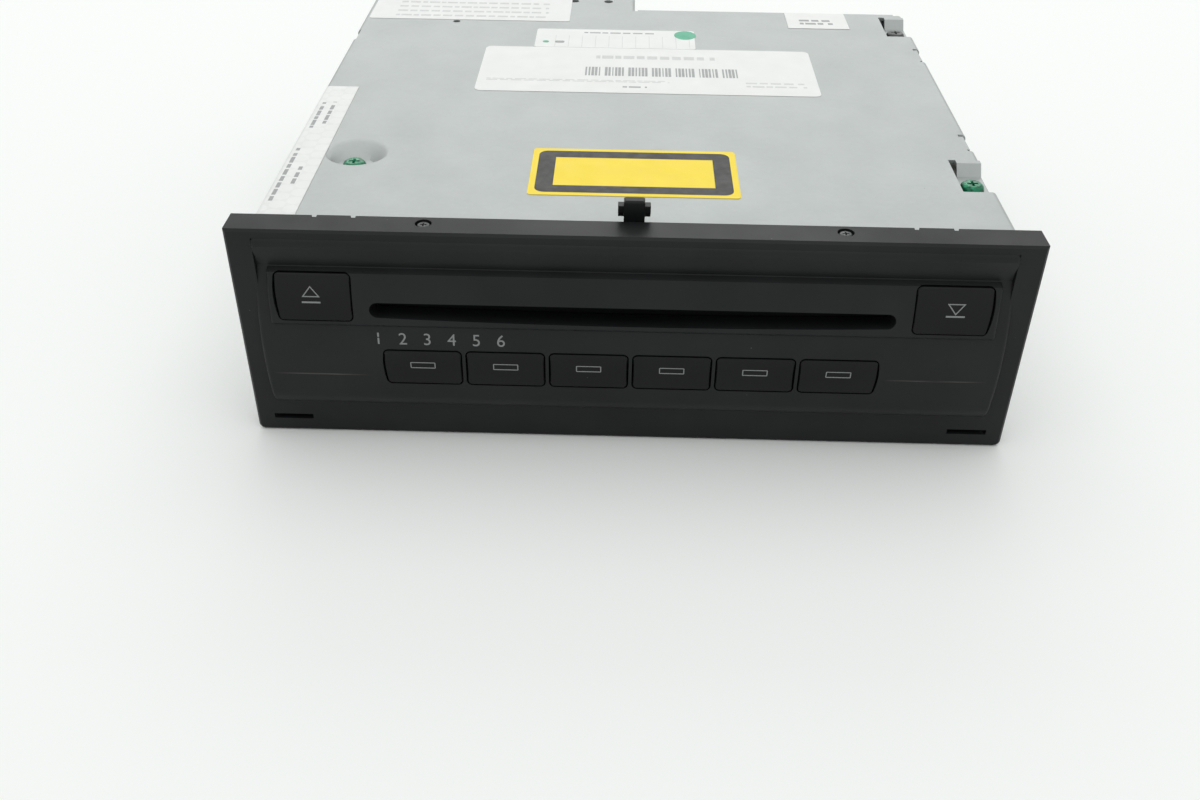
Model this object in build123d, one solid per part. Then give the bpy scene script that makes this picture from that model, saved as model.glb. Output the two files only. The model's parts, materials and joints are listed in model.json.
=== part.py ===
from build123d import *
import os
from math import acos, asin, cos, degrees, pi, radians, sin, tan

# Slot-loading six-disc changer for a car, with a black moulded fascia on a sheet-metal case.
# Millimetres: X to the right, Y to the rear, Z up. The pieces are drawn from the front plane of the
# fascia's frame (Y = 0) and its lower edge (Z = 0), on the case's middle plane (X = 0). save() then
# shifts them so that the origin lies under the middle of the whole changer.

# ---------------------------------------------------------------- driving sizes: disc and case
disc_r = 60.0            # the disc that the slot takes
disc_t = 1.2
body_w = 180.0           # case, over the lid's flanges
body_h = 53.0
body_depth = 157.5       # case behind the fascia's rim
body_lift = 2.0          # case floor above the fascia's lower edge
sheet = 1.0              # sheet metal of the case
bend = 1.4               # outer radius of its folds
box_w = 89.8             # connector box behind the left half
box_depth = 20.5
foot_r = 8.0             # pressed feet
foot_x = 62.0
foot_y = (34.0, 146.0)
side_holes_y = (60.0, 120.0)
side_hole_z = 20.0
side_hole_r = 2.1
vent_count = 8
vent_pitch = 5.0
vent_y = 70.0
vent_z = 28.0
vent_len = 10.0
vent_w = 2.0
flange = 11.0            # the lid's folded sides
dimple = (-72.2, 47.9)   # pressed dimple of the lid
dimple_r = 8.3
dimple_depth = 2.8
dimple_screw = (-72.6, 44.8)
tab_y = (31.7, 144.8)    # front edges of the openings round the lanced screw tabs
tab_len = 18.6
tab_opening = 8.4        # in from the case's side
tab_w = 6.5
tab_root = 1.8           # flat stretch behind the strip's bend
tab_screw = (4.25, 7.3)  # in from the side, back from the opening's front edge
edge_notches = ((56.2, 66.8), (122.0, 133.5))
notch_relief = 2.4
left_notch = (133.0, 142.0)
lid_hole = (-59.0, 151.7)
cover_screw_r = 1.2
connector_w = 36.0       # plug face in the connector box's rear
connector_h = 18.0
connector_in = 24.0      # from the box's left side
connector_low = 17.0     # above the case's floor
pcb_t = 1.6
pcb_behind = 6.0         # board's rear face to the box's rear face

# ---------------------------------------------------------------- driving sizes: fascia
rim_side = 4.0           # fascia's rim beside and above the case
rim_top = 2.0
rim_depth = 8.0
front_wall = 3.2         # fascia's front, without the panel's bulge
panel_inset = 1.4        # panel's sides, in from the case's
panel_low = 9.2
panel_bulge = 2.5
panel_wall = 2.2         # its thickness where it is lightened from behind
panel_end = 0.8          # rounding of the panel's ends
band_h = 7.4             # height of the panel's upper band
band_y = 1.2             # how far that band falls back
brow_y = -0.4            # plateau round the slot: its front at the upper and lower edges
chin_y = -2.55
key_gap = 0.3            # running gap round each key
key_travel = 0.8
key_lip = 0.7            # how far a key's retaining lip reaches past its hole
key_dish = 0.45
slot_top = 39.5
slot_end_h = 3.8         # slot's height at its ends; the lower edge bows down in the middle
slot_bow = 0.95
slot_clear = 1.8         # slot beyond the disc's edge, each side
key_z = 17.4             # lower edge of the row of disc keys
key_h = 9.2
key_bar = 1.37           # between two keys
key_pitch = 20.07
key_count = 6
key_front = 2.9          # row keys' fronts, before the frame
side_key_z = 34.8        # eject and load keys
side_key_w = 18.0
side_key_h = 11.5
side_key_x = 83.9        # their outer sides
side_key_proud = 0.3     # before the plateau
slit_len = 9.8           # the slits at the frame's lower corners
slit_x = (-84.6, 84.8)
rim_screw_x = 48.6
rim_screw_y = 5.0
tongue_x = 69.9          # snap tongues in the rim's rear edge
tongue_w = 7.9
tongue_relief = (1.2, 0.9)
catch_w = 4.9
catch_t = 2.8
catch_rise = 5.0
catch_travel = 2.0
shutter_h = 7.0
shutter_lift = 6.0

# ---------------------------------------------------------------- driving sizes: mechanism
board_y = 8.0            # front face of the key board
board_t = 1.6
side_channel = 7.0       # between the case's walls and the mechanism's
mech_sheet = 1.0
deck_z = 6.0             # underside of the mechanism's deck
disc_y = 88.0            # middle of the discs in the magazine
tray_count = 6
tray_pitch = 2.7
tray_t = 1.2
stocker_t = 1.2
ear_x = 66.0             # posts that carry the trays
ear_y = 22.0             # before and behind the middle of the discs
post_r = 2.0
fit = 0.1                # radial clearance of a running fit
lift_pin_r = 1.5
lift_pin_y = (62.0, 118.0)
lift_ratio = 0.5         # rise for each millimetre of the cam slide
slide_t = 1.2
guide_stud_y = (70.0, 116.0)
guide_stud_z = 16.0
guide_stud_r = 1.5
crossbar_y = (100.0, 120.0)
bar_z = 4.2
damper_y = (42.0, 156.0)
damper_z = 8.6
damper_r = 3.6
gear_module = 0.8
gear_w = 2.0
backlash = 0.12
lift_teeth = 12
roller_teeth = 18
pinion_teeth = 12
roller_r = 4.0
roller_shaft_r = 1.5
bushing_r = 3.0
stub_r = 1.0
motor_r = 5.8
motor_len = 17.0
arm_pivot = (-64.0, 144.0)
arm_swing = 45.0         # degrees from the parked place to the disc's middle
arm_z = 12.0
arm_t = 1.2
sled_travel = 34.0
sled_half = 7.0
rod_r = 1.0
rod_v = 12.0             # guide rods, beside the arm's middle line
screw_r = 1.1
screw_v = -8.6
spindle_motor_r = 12.0
spindle_h = 3.6
disc_bore_x = 30.0       # bore in the deck under the arm

# ---------------------------------------------------------------- derived places
half = body_w / 2
wall_x = half - sheet                    # outer face of the case's walls
case_top = body_lift + body_h
lid_under = case_top - sheet
fascia_w = body_w + 2 * rim_side
fascia_h = case_top + rim_top
case_front = front_wall + 0.3
rear = rim_depth + body_depth
floor_top = body_lift + sheet
overall_front = -key_front
overall_rear = rear + box_depth
shift = -(overall_front + overall_rear) / 2
feet_at = [(x, y) for x in (-foot_x, foot_x) for y in foot_y]

panel_half = half - panel_inset
panel_high = fascia_h - 2.2
slot_low = slot_top - slot_end_h
slot_half = disc_r + slot_clear
plateau_top = panel_high - band_h - 0.2
plateau_low = slot_low - slot_bow - 1.0
key_w = key_pitch - key_bar
row_half = key_pitch * (key_count - 1) / 2
board_half = half - 5.0
row_end = row_half + key_w / 2
board_screws_at = [(side * x, z) for x, z in ((half - 12, 13), (row_end + 7, 28)) for side in (-1, 1)]
shutter_half = slot_half + 0.6
shutter_y = front_wall + 0.3
shutter_z = slot_low - slot_bow - 1.2
catch_y = rim_depth + 0.3
catch_foot = case_top - 4.0

bracket_z = case_top - dimple_depth - sheet
tab_screws_at = [(half - tab_screw[0], y + tab_screw[1]) for y in tab_y]
marked_screws_at = (dimple_screw, tab_screws_at[0])
plain_screw_at = tab_screws_at[1]
box_left = -half
box_right = -half + box_w
window = (box_left + 4.0, box_right - 4.8, 10.0, 46.0)       # wiring window in the rear wall
connector_x = (box_left + connector_in, box_left + connector_in + connector_w)
connector_z = (body_lift + connector_low, body_lift + connector_low + connector_h)
pcb_y = overall_rear - pcb_behind - pcb_t
pcb_posts_at = [(x, z) for x in (box_left + 6, box_right - 5.8) for z in (9, 48)]

disc_z = slot_top - 3.1                  # underside of a disc in the slot
gear_tip = 0.75 * gear_module            # tooth above the pitch line
gear_root = gear_module                  # and below it
roller_gear_r = gear_module * roller_teeth / 2
pinion_r = gear_module * pinion_teeth / 2
lift_gear_r = gear_module * lift_teeth / 2
roller_y = board_y + board_t + roller_gear_r + gear_tip + 1.1
roller_z = disc_z - roller_r - 0.1
idler_z = roller_z - 2 * roller_gear_r
mech_x = wall_x - sheet - side_channel   # outer face of the mechanism's walls
mech_inner = mech_x - mech_sheet
mech_front = roller_y - 6.5
mech_rear = rear - sheet - 3.5
mech_top = bracket_z - sheet - 0.2
load_pinion_z = max(idler_z - (roller_gear_r + pinion_r) * sin(radians(45)),
                    floor_top + motor_r + 0.35)
load_angle = asin((load_pinion_z - idler_z) / (roller_gear_r + pinion_r))
load_pinion_y = roller_y + (roller_gear_r + pinion_r) * cos(load_angle)
slide_x = mech_x + 0.3                   # inner face of the cam slide's sides
lift_rise = tray_pitch * (tray_count - 1)
slide_travel = lift_rise / lift_ratio
slide_top = lid_under - 1.0 - 2 * lift_gear_r - gear_tip - gear_root
lift_pin_z = slide_top - 2.0 - lift_pin_r - lift_rise        # lift pins, magazine down
rack_z = slide_top + gear_root           # pitch line of the rack
lift_gear_y = lift_pin_y[0] + 2.5
lift_gear_z = rack_z + lift_gear_r
lift_pinion_y = lift_gear_y - lift_gear_r - pinion_r
gear_left = (-mech_x - 0.4 - gear_w, -mech_x - 0.4)
gear_right = (slide_x, slide_x + slide_t + 0.4 + gear_w)
pinion_right = (gear_right[1] - gear_w, gear_right[1])

tray_top = disc_z - lift_rise            # upper face of the lowest tray, magazine down
stocker_z = tray_top - tray_t - stocker_t                    # underside of the magazine's frame
boss_z = stocker_z + stocker_t           # foot of the lowest tray's bosses
magazine_x = ear_x + 5.2
ears = [(x, y) for x in (-ear_x, ear_x) for y in (disc_y - ear_y, disc_y + ear_y)]

arm_dx = -arm_pivot[0]
arm_dy = disc_y - arm_pivot[1]
arm_reach = (arm_dx**2 + arm_dy**2) ** 0.5
arm_parked = -degrees(acos(arm_dx / arm_reach)) - arm_swing
lens_u = arm_reach - 24.0                # the lens at the disc's inner edge
window_u = (lens_u - sled_travel - 8, lens_u + 8)
rod_z = arm_z + arm_t + 2.2
screw_z = arm_z - 1.8
spindle_z = arm_z + arm_t

TURN = {"X": Rot(0, 90, 0), "Y": Rot(-90, 0, 0), "Z": Rot(0, 0, 0)}


# ---------------------------------------------------------------- helpers
def block(x0, x1, y0, y1, z0, z1):
    """A box between two corners."""
    return Pos((x0 + x1) / 2, (y0 + y1) / 2, (z0 + z1) / 2) * Box(x1 - x0, y1 - y0, z1 - z0)


def rod(axis, a, b, low, high, radius):
    """A round bar along an axis from low to high; a and b are its places on the other two axes."""
    mid = (low + high) / 2
    place = {"X": (mid, a, b), "Y": (a, mid, b), "Z": (a, b, mid)}[axis]
    return Pos(*place) * TURN[axis] * Cylinder(radius, high - low)


def prism_x(face, x0, x1):
    """A face drawn in Y and Z, carried from x0 to x1."""
    return Pos(x0, 0, 0) * extrude(Plane.YZ * face, x1 - x0)


def prism_y(face, y0, y1):
    """A face drawn in X and Z, carried from y0 to y1."""
    return Pos(0, y1, 0) * extrude(Plane.XZ * face, y1 - y0)


def prism_z(face, z0, z1):
    """A face drawn in X and Y, carried from z0 to z1."""
    return Pos(0, 0, z0) * extrude(face, z1 - z0)


def both_sides(shape):
    """A shape and its mirror image across the middle plane."""
    return shape + mirror(shape, Plane.YZ)


def slot_face(x0, x1, z, radius):
    """A round-ended slot outline between two end centres."""
    return Pos((x0 + x1) / 2, z) * SlotCenterToCenter(x1 - x0, 2 * radius)


# ---------------------------------------------------------------- keys
def key_face(x0, x1, z0, z1, left=0.0, right=0.0):
    """A key's outline; left and right are how far that side bows out past its corners."""
    low, mid = 0.9, (z0 + z1) / 2 + 0.6
    sides = [Line((x0 + left, z1), (x1 - right, z1))]
    if right:
        sides.append(ThreePointArc((x1 - right, z1), (x1, mid), (x1 - right * (1 + low), z0)))
    else:
        sides.append(Line((x1, z1), (x1, z0)))
    sides.append(Line(sides[-1] @ 1, (x0 + (left * (1 + low) if left else 0), z0)))
    if left:
        sides.append(ThreePointArc(sides[-1] @ 1, (x0, mid), (x0 + left, z1)))
    else:
        sides.append(Line((x0, z0), (x0, z1)))
    face = make_face(sides)
    return fillet(face.vertices(), 1.1)


def key_faces():
    """The outline of every key and the depth of its front's lower and upper edges, by name."""
    keys = {}
    for n in range(key_count):
        x = n * key_pitch - row_half
        left = 0.4 if n == 0 else 0
        right = 0.4 if n == key_count - 1 else 0
        face = key_face(x - key_w / 2, x + key_w / 2, key_z, key_z + key_h, left, right)
        keys[f"disc_button_{n + 1}"] = (face, x, key_z, key_h, overall_front, overall_front)
    inner = side_key_x - side_key_w
    middle = side_key_x - side_key_w / 2
    top = side_key_z + side_key_h
    low, high = chin_y - side_key_proud, brow_y - side_key_proud
    keys["eject_button"] = (key_face(-side_key_x, -inner, side_key_z, top, 0.5),
                            -middle, side_key_z, side_key_h, low, high)
    keys["load_button"] = (key_face(inner, side_key_x, side_key_z, top, 0, 0.5),
                           middle, side_key_z, side_key_h, low, high)
    return keys


def key(face, x, z, height, low, high):
    """A dished cap with a retaining lip behind the panel and a stem towards its switch."""
    back = front_wall + 0.9
    top = z + height
    dished = make_face([
        ThreePointArc((low, z), ((low + high) / 2 + key_dish, z + height / 2), (high, top)),
        Polyline((high, top), (high, top + 1), (back, top + 1), (back, z - 1), (low, z - 1), (low, z)),
    ])
    cap = prism_y(face, low - 1, back) & prism_x(dished, x - side_key_w, x + side_key_w)
    cap = chamfer(cap.faces().sort_by(Axis.Y)[0].edges(), 0.25)
    reach = key_gap + key_lip
    middle = face.bounding_box()
    lip = block(middle.min.X + 2, middle.max.X - 2, front_wall + 0.2, back, z - reach, top + reach)
    stem = block(x - 1.5, x + 1.5, back, board_y - 3.75, z + height / 2 - 1.5,
                 z + height / 2 + 1.5)
    return cap + lip + stem


# ---------------------------------------------------------------- fascia
def panel_face():
    """The panel's section in Y and Z: a small ridge, a band that falls back, then a long bulge."""
    band_z = panel_high - band_h
    foot = (-panel_bulge, panel_low + 4.6)
    return make_face([
        ThreePointArc((0, panel_high), (-0.55, panel_high - 0.7), (-0.75, panel_high - 1.7)),
        Line((-0.75, panel_high - 1.7), (band_y, band_z)),
        ThreePointArc((band_y, band_z), (-2.1, 30.5), foot),
        ThreePointArc(foot, (0.7 - panel_bulge, panel_low + 1.9), (0, panel_low)),
        Line((0, panel_low), (front_wall, panel_low)),
        Line((front_wall, panel_low), (front_wall, panel_high)),
        Line((front_wall, panel_high), (0, panel_high)),
    ])


def plateau_face():
    """The raised field round the slot: a lit upper edge, a swelling front and a small lower step."""
    brow, chin = plateau_top - 0.8, plateau_low
    middle = ((brow_y + chin_y) / 2 - 0.32, (plateau_top + chin) / 2)
    return make_face([
        ThreePointArc((brow_y, brow), middle, (chin_y, chin)),
        Polyline((chin_y, chin), (chin_y + 1.15, chin - 1.3), (front_wall, chin - 1.3),
                 (front_wall, plateau_top), (band_y, plateau_top), (brow_y, brow)),
    ])


def panel_outline():
    """The panel's border seen from the front; its sides bow out a little."""
    bow = 0.8
    top, low = panel_half - bow, panel_half - 0.5
    return make_face([
        Line((-top, panel_high), (top, panel_high)),
        ThreePointArc((top, panel_high), (panel_half + 0.2, 28), (low, panel_low)),
        Line((low, panel_low), (-low, panel_low)),
        ThreePointArc((-low, panel_low), (-panel_half - 0.2, 28), (-top, panel_high)),
    ])


def disc_slot_face():
    """The slot's outline: a straight upper edge, round ends and a lower edge that bows down."""
    end = slot_half - slot_end_h / 2
    mid = (slot_top + slot_low) / 2
    return make_face([
        Line((-end, slot_top), (end, slot_top)),
        ThreePointArc((end, slot_top), (slot_half, mid), (end, slot_low)),
        ThreePointArc((end, slot_low), (0, slot_low - slot_bow), (-end, slot_low)),
        ThreePointArc((-end, slot_low), (-slot_half, mid), (-end, slot_top)),
    ])


def fascia():
    """The moulded front: frame, sculpted panel, key holes with sleeves, slot, rim and snap tongues."""
    frame = Pos(0, fascia_h / 2) * Rectangle(fascia_w, fascia_h)
    frame = fillet(frame.vertices().group_by(Axis.Y)[0], 1.5)
    frame = prism_y(frame, 0, rim_depth)
    frame = chamfer(frame.faces().sort_by(Axis.Y)[0].edges(), 0.6)
    border = prism_y(panel_outline(), overall_front - 1, front_wall)
    panel = prism_x(panel_face(), -half, half) & border
    ends = panel.edges().filter_by(lambda e: abs(e.center().X) > panel_half - 1.5
                                   and abs(e.tangent_at(0.5).X) < 0.6
                                   and e.center().Y < front_wall - 0.1)
    panel = fillet(ends, panel_end)
    plateau_half = panel_half - 3.2
    plateau = prism_x(plateau_face(), -plateau_half, plateau_half)
    ends = plateau.edges().filter_by(lambda e: abs(e.center().X) > plateau_half - 0.1
                                     and e.center().Y < 1.0)
    plateau = fillet(ends, 0.5)
    pocket = block(-panel_half + panel_end, panel_half - panel_end, overall_front, band_y + 0.05,
                   0, fascia_h) & border
    front = frame - pocket + panel + plateau

    # lightened from behind, with a sleeve left round the slot and each key
    keys = [item[0] for item in key_faces().values()]
    sleeves = prism_y(offset(disc_slot_face(), 1.3, kind=Kind.ARC), -3, front_wall)
    for face in keys:
        sleeves += prism_y(offset(face, key_gap + 1.1, kind=Kind.ARC), -3, front_wall)
    hollow = Pos(0, panel_wall, 0) * (prism_x(panel_face(), -panel_half + 4, panel_half - 4))
    hollow &= block(-half, half, -5, front_wall + 0.01, panel_low + panel_wall, plateau_top - 2.9)
    front -= hollow - sleeves
    front -= block(-half, half, front_wall, rim_depth + 1, body_lift, case_top)
    front -= prism_y(disc_slot_face(), -5, front_wall + 1)
    for face in keys:
        front -= prism_y(offset(face, key_gap, kind=Kind.ARC), -5, front_wall + 1)
    for x in slit_x:
        front -= block(x - slit_len / 2, x + slit_len / 2, -1, front_wall + 1, 3.7, 5.1)
    return front + fascia_back() - fascia_rim_cuts()


def fascia_back():
    """Board bosses, shutter guides and the catch's guide behind the front wall."""
    back = Part()
    for x, z in board_screws_at:
        back += rod("Y", x, z, -0.9, board_y, 2.6)
        back -= rod("Y", x, z, front_wall + 0.5, board_y + 1, 0.8)
    guide = block(shutter_half + 0.2, shutter_half + 1.5, front_wall - 0.2, shutter_y + 2.2, 31, 50)
    guide += block(shutter_half - 1.4, shutter_half + 1.5, shutter_y + 1.1, shutter_y + 2.2, 31, 50)
    back += both_sides(guide)
    rib = block(catch_w / 2 + 0.15, catch_w / 2 + 1.4, front_wall - 0.2, catch_y + catch_t,
                catch_foot - 3.2, lid_under - 0.6)
    back += both_sides(rib)
    back += block(-catch_w / 2 - 1.4, catch_w / 2 + 1.4, front_wall - 0.2, catch_y + catch_t,
                  catch_foot - 4.2, catch_foot - 3.0)
    return back


def fascia_rim_cuts():
    """Recesses for the rim's screws, and the snap tongues' lower tops with reliefs beside them."""
    cuts = Part()
    wide, deep = tongue_relief
    for x in (-rim_screw_x, rim_screw_x):
        cuts += rod("Z", x, rim_screw_y, case_top - 1, fascia_h + 1, 1.1)
        cuts += rod("Z", x, rim_screw_y, fascia_h - 1.2, fascia_h + 1, 1.95)
    for x in (-tongue_x, tongue_x):
        edge = x + tongue_w / 2
        cuts += block(edge, edge + wide, rim_depth - deep, rim_depth + 1, case_top, fascia_h + 1)
        edge = x - tongue_w / 2
        cuts += block(edge - wide, edge, rim_depth - deep, rim_depth + 1, case_top, fascia_h + 1)
        cuts += block(x - tongue_w / 2, x + tongue_w / 2, rim_depth - deep, rim_depth + 1,
                      fascia_h - 0.4, fascia_h + 1)
    return cuts


# ---------------------------------------------------------------- behind the fascia
def slot_shutter():
    """The flap that closes the slot from behind and is lifted to let a disc in."""
    plate = block(-shutter_half, shutter_half, shutter_y, shutter_y + 0.8, shutter_z,
                  shutter_z + shutter_h)
    reach = slot_half - 1.5
    lip = block(-reach, reach, shutter_y + 0.8, shutter_y + 2.0, shutter_z,
                shutter_z + 0.9)
    return plate + lip


def retaining_catch():
    """The sprung block behind the rim: a head with two sloped ribs on a guided foot."""
    top = fascia_h + catch_rise
    head = block(-catch_w / 2, catch_w / 2, catch_y, catch_y + catch_t, catch_foot, top)
    head = chamfer(head.faces().sort_by(Axis.Z)[-1].edges(), 0.4)
    slope = make_face(Polyline((catch_y + 0.4, fascia_h + 3.6), (catch_y + catch_t, fascia_h + 3.6),
                               (catch_y + catch_t, fascia_h + 0.4), (catch_y + 1.6, fascia_h + 0.4),
                               (catch_y + 0.4, fascia_h + 1.8), close=True))
    rib = prism_x(slope, catch_w / 2 - 0.01, catch_w / 2 + 1.35)
    return head + both_sides(rib)


def front_board():
    """The key board: a U round the slot, so that discs pass between its arms."""
    low = block(-board_half, board_half, board_y, board_y + board_t, 8, slot_low - 5.5)
    arm = block(shutter_half + 2.1, board_half, board_y, board_y + board_t, slot_low - 6,
                side_key_z + side_key_h + 2)
    board = low + both_sides(arm)
    for x, z in board_screws_at:
        board -= rod("Y", x, z, board_y - 1, board_y + board_t + 1, 1.2)
    return board


def tact_switches():
    """One small square switch behind each key."""
    group = Part()
    for face, x, z, height, low, high in key_faces().values():
        z += height / 2
        group += block(x - 2.25, x + 2.25, board_y - 2, board_y, z - 2.25, z + 2.25)
        group += rod("Y", x, z, board_y - 2.9, board_y - 1.9, 1.0)
    return group


def leds():
    """One lamp beside each switch."""
    group = Part()
    for face, x, z, height, low, high in key_faces().values():
        z += height / 2
        group += block(x + 4.4, x + 6.4, board_y - 0.9, board_y, z - 0.7, z + 0.7)
    return group


def board_screws():
    """Four screws that hold the key board to the fascia's bosses."""
    group = Part()
    for x, z in board_screws_at:
        group += rod("Y", x, z, front_wall + 1.2, board_y + board_t, 0.75)
        group += rod("Y", x, z, board_y + board_t, board_y + board_t + 1.2, 1.9)
    return group


def fascia_screws():
    """The two screws sunk in the rim's upper face."""
    group = Part()
    for x in (-rim_screw_x, rim_screw_x):
        group += rod("Z", x, rim_screw_y, fascia_h - 1.2, fascia_h - 0.25, 1.8)
        group += rod("Z", x, rim_screw_y, lid_under - 2, fascia_h - 1.2, 1.0)
    return group


# ---------------------------------------------------------------- case
def lower_chassis():
    """The case's tray: floor with pressed feet, side walls, rear wall and the screw brackets."""
    top = lid_under - 0.6
    tray = block(-wall_x, wall_x, case_front, rear, body_lift, top)
    tray = fillet(tray.edges().filter_by(Axis.Y).group_by(Axis.Z)[0], bend)
    inside = block(-wall_x + sheet, wall_x - sheet, case_front - 1, rear - sheet, floor_top, top + 1)
    inside = fillet(inside.edges().filter_by(Axis.Y).group_by(Axis.Z)[0], bend - sheet)
    tray -= inside
    height = body_lift + sheet / 2
    for x, y in feet_at:
        tray += Pos(x, y, height / 2) * Cone(0.6 * foot_r, foot_r, height)
        tray -= Pos(x, y, height / 2 + sheet) * Cone(0.6 * foot_r - 0.6, foot_r - 0.6, height)
    for y in side_holes_y:
        tray -= rod("X", y, side_hole_z, -wall_x - 1, wall_x + 1, side_hole_r)
    for n in range(vent_count):
        y = vent_y + n * vent_pitch
        tray -= block(wall_x - 2 * sheet, wall_x + 1, y - vent_w / 2, y + vent_w / 2, vent_z,
                      vent_z + vent_len)
    for y in tab_y:
        tray -= block(wall_x - sheet, wall_x + 1, y - 0.5, y + tab_len, bracket_z, top + 1)
    tray -= block(window[0], window[1], rear - 2 * sheet, rear + 1, window[2], window[3])
    return tray + screw_brackets()


def screw_brackets():
    """Tabs folded in from the side walls, under the lid's dimple and its two lanced tabs."""
    inner = wall_x - sheet
    low, high = bracket_z - sheet, bracket_z
    x, y = dimple_screw
    brackets = block(-inner - 0.5, x + 6, y - 6, y + 6, low, high)
    for x, y in tab_screws_at:
        brackets += block(x - 3.2, inner + 0.5, y - 4.5, y + 4.5, low, high)
    for x, y in (dimple_screw, *tab_screws_at):
        brackets -= rod("Z", x, y, low - 1, high + 1, cover_screw_r + 0.1)
    return brackets


def lanced_tab(y):
    """A strip of the lid, free at its front end and pressed down to the bracket under it."""
    under = case_top - dimple_depth
    root, bend_y = y + tab_len, y + tab_len - tab_root
    strip = make_face(Polyline((root, case_top), (bend_y, case_top), (bend_y - 2.4, under),
                               (y + 0.9, under), (y + 0.9, under - sheet),
                               (bend_y - 2.0, under - sheet), (bend_y + 0.4, lid_under),
                               (root, lid_under), close=True))
    strip = prism_x(strip, half - tab_opening, half - 0.2)
    narrow = make_face(Polyline((half - tab_w, root + 1), (half - tab_w, bend_y - 3),
                                (half - tab_w - 0.9, bend_y - 5), (half - tab_w - 0.9, y),
                                (half, y), (half, root + 1), close=True))
    return strip & prism_z(narrow, bracket_z - sheet, case_top + 1)


def top_cover():
    """The lid: a folded sheet with a pressed dimple, two lanced tabs, edge notches and a rear lip."""
    lid = block(-half, half, case_front, rear, case_top - flange - sheet, case_top)
    lid = fillet(lid.edges().filter_by(Axis.Y).group_by(Axis.Z)[-1], bend)
    inside = block(-wall_x, wall_x, case_front - 1, rear + 1, 0, lid_under)
    inside = fillet(inside.edges().filter_by(Axis.Y).group_by(Axis.Z)[-1], bend - sheet)
    lid -= inside
    lid += block(box_right + 1, half - 3, rear, rear + sheet, case_top - 9, case_top)
    for y in tab_y:
        lid -= block(half - tab_opening, half + 1, y, y + tab_len, bracket_z - sheet, case_top + 1)
        lid += lanced_tab(y)
    for y0, y1 in edge_notches:
        lid -= block(wall_x - 0.2, half + 1, y0, y1, case_top - 4, case_top + 1)
        lid -= block(half - notch_relief, half + 1, y1 - 1.4, y1, case_top - 4, case_top + 1)
        lid -= block(half - 0.8 * notch_relief, half + 1, y0, y0 + 0.9, case_top - 4, case_top + 1)
    lid -= block(-half - 1, -wall_x + 0.2, *left_notch, case_top - 4, case_top + 1)
    lid += dish(lid_under, sheet)
    lid -= dish(case_top, 0)
    for x, y in (dimple_screw, *tab_screws_at):
        lid -= rod("Z", x, y, bracket_z - 1, case_top, cover_screw_r + 0.1)
    for x in (-rim_screw_x, rim_screw_x):
        lid -= rod("Z", x, rim_screw_y, lid_under - 1, case_top + 1, 1.1)
    lid -= block(-catch_w / 2 - 1.6, catch_w / 2 + 1.6, case_front - 1, catch_y + catch_t + 0.4,
                 lid_under - 1, case_top + 1)
    lid -= rod("Z", *lid_hole, lid_under - 1, case_top + 1, 1.2)
    return lid


def dish(top, grow):
    """The dimple's plug: a wide mouth, a step, then a skewed cone down to the screw's seat."""
    step = [(a + b) / 2 for a, b in zip(dimple, dimple_screw)]
    rings = [Pos(*dimple, top) * Circle(dimple_r + grow),
             Pos(*step, top - 0.35 * dimple_depth) * Circle(0.8 * dimple_r + grow),
             Pos(*dimple_screw, top - dimple_depth) * Circle(0.62 * dimple_r + grow)]
    return loft(rings, ruled=True)


def cover_screws(places):
    """Cross-head screws through the lid into the brackets."""
    group = Part()
    under = case_top - dimple_depth
    for x, y in places:
        head = Pos(x, y, under + 0.8) * Cone(3.1, 2.3, 1.6)
        group += head + rod("Z", x, y, under - 3.4, under, cover_screw_r)
    return group


def rear_connector_box():
    """The sheet box behind the left half, open to the case, with windows for the plug face."""
    box = block(box_left, box_right, rear, overall_rear, body_lift, case_top)
    box = fillet(box.edges().filter_by(Axis.Y).group_by(Axis.Z)[-1], bend)
    box -= block(box_left + sheet, box_right - sheet, rear - 1, overall_rear - sheet, floor_top,
                 lid_under)
    box -= block(connector_x[0] - 0.2, connector_x[1] + 0.2, overall_rear - 2, overall_rear + 1,
                 connector_z[0] - 0.2, connector_z[1] + 0.2)
    for x in (box_right - 20.8, box_right - 9.1):
        box -= rod("Z", x, rear + 9.5, lid_under - 1, case_top + 1, 1.5)
    for n in range(5):
        x = box_right - 23.8 + n * 4
        box -= block(x, x + 2, overall_rear - 2, overall_rear + 1, 16, 40)
    for x, z in pcb_posts_at:
        box += rod("Y", x, z, pcb_y + pcb_t, overall_rear - sheet / 2, 2.2)
    return box


def main_board():
    """The upright board in the connector box, with its larger components."""
    board = block(box_left + 2.5, box_right - 2.3, pcb_y, pcb_y + pcb_t, floor_top + 2.5,
                  lid_under - 2.5)
    chips = ((20, 26, 18, 18, 1.6), (46, 30, 14, 14, 1.4), (66, 34, 12, 8, 2.2), (10, 12, 6, 10, 3.5),
             (44, 10, 8, 8, 4.0))
    for x, z, wide, high, tall in chips:
        x += box_left
        board += block(x, x + wide, pcb_y - tall, pcb_y, z, z + high)
    for x in (box_right - 14.3, box_right - 7.3):
        board += rod("Y", x, 20, pcb_y - 6, pcb_y, 3.0)
    return board


def rear_connector():
    """The moulded plug face: a wide contact bay and a two-way bay beside it."""
    x0, x1 = connector_x
    z0, z1 = connector_z
    back = overall_rear
    body = block(x0, x1, pcb_y + pcb_t, back, z0, z1)
    body = chamfer(body.faces().sort_by(Axis.Y)[-1].edges(), 0.4)
    body -= block(x0 + 1.6, x0 + 21, back - 4.6, back + 1, z0 + 2.2, z1 - 2.2)
    body -= block(x0 + 23, x1 - 1.6, back - 4.6, back + 1, z0 + 4.2, z1 - 4.2)
    for n in range(8):
        x = x0 + 3.8 + n * 2.2
        for z in (z0 + 5.0, z1 - 5.6):
            body += block(x, x + 0.6, back - 4.7, back - 1.6, z, z + 0.6)
    return body


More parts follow.
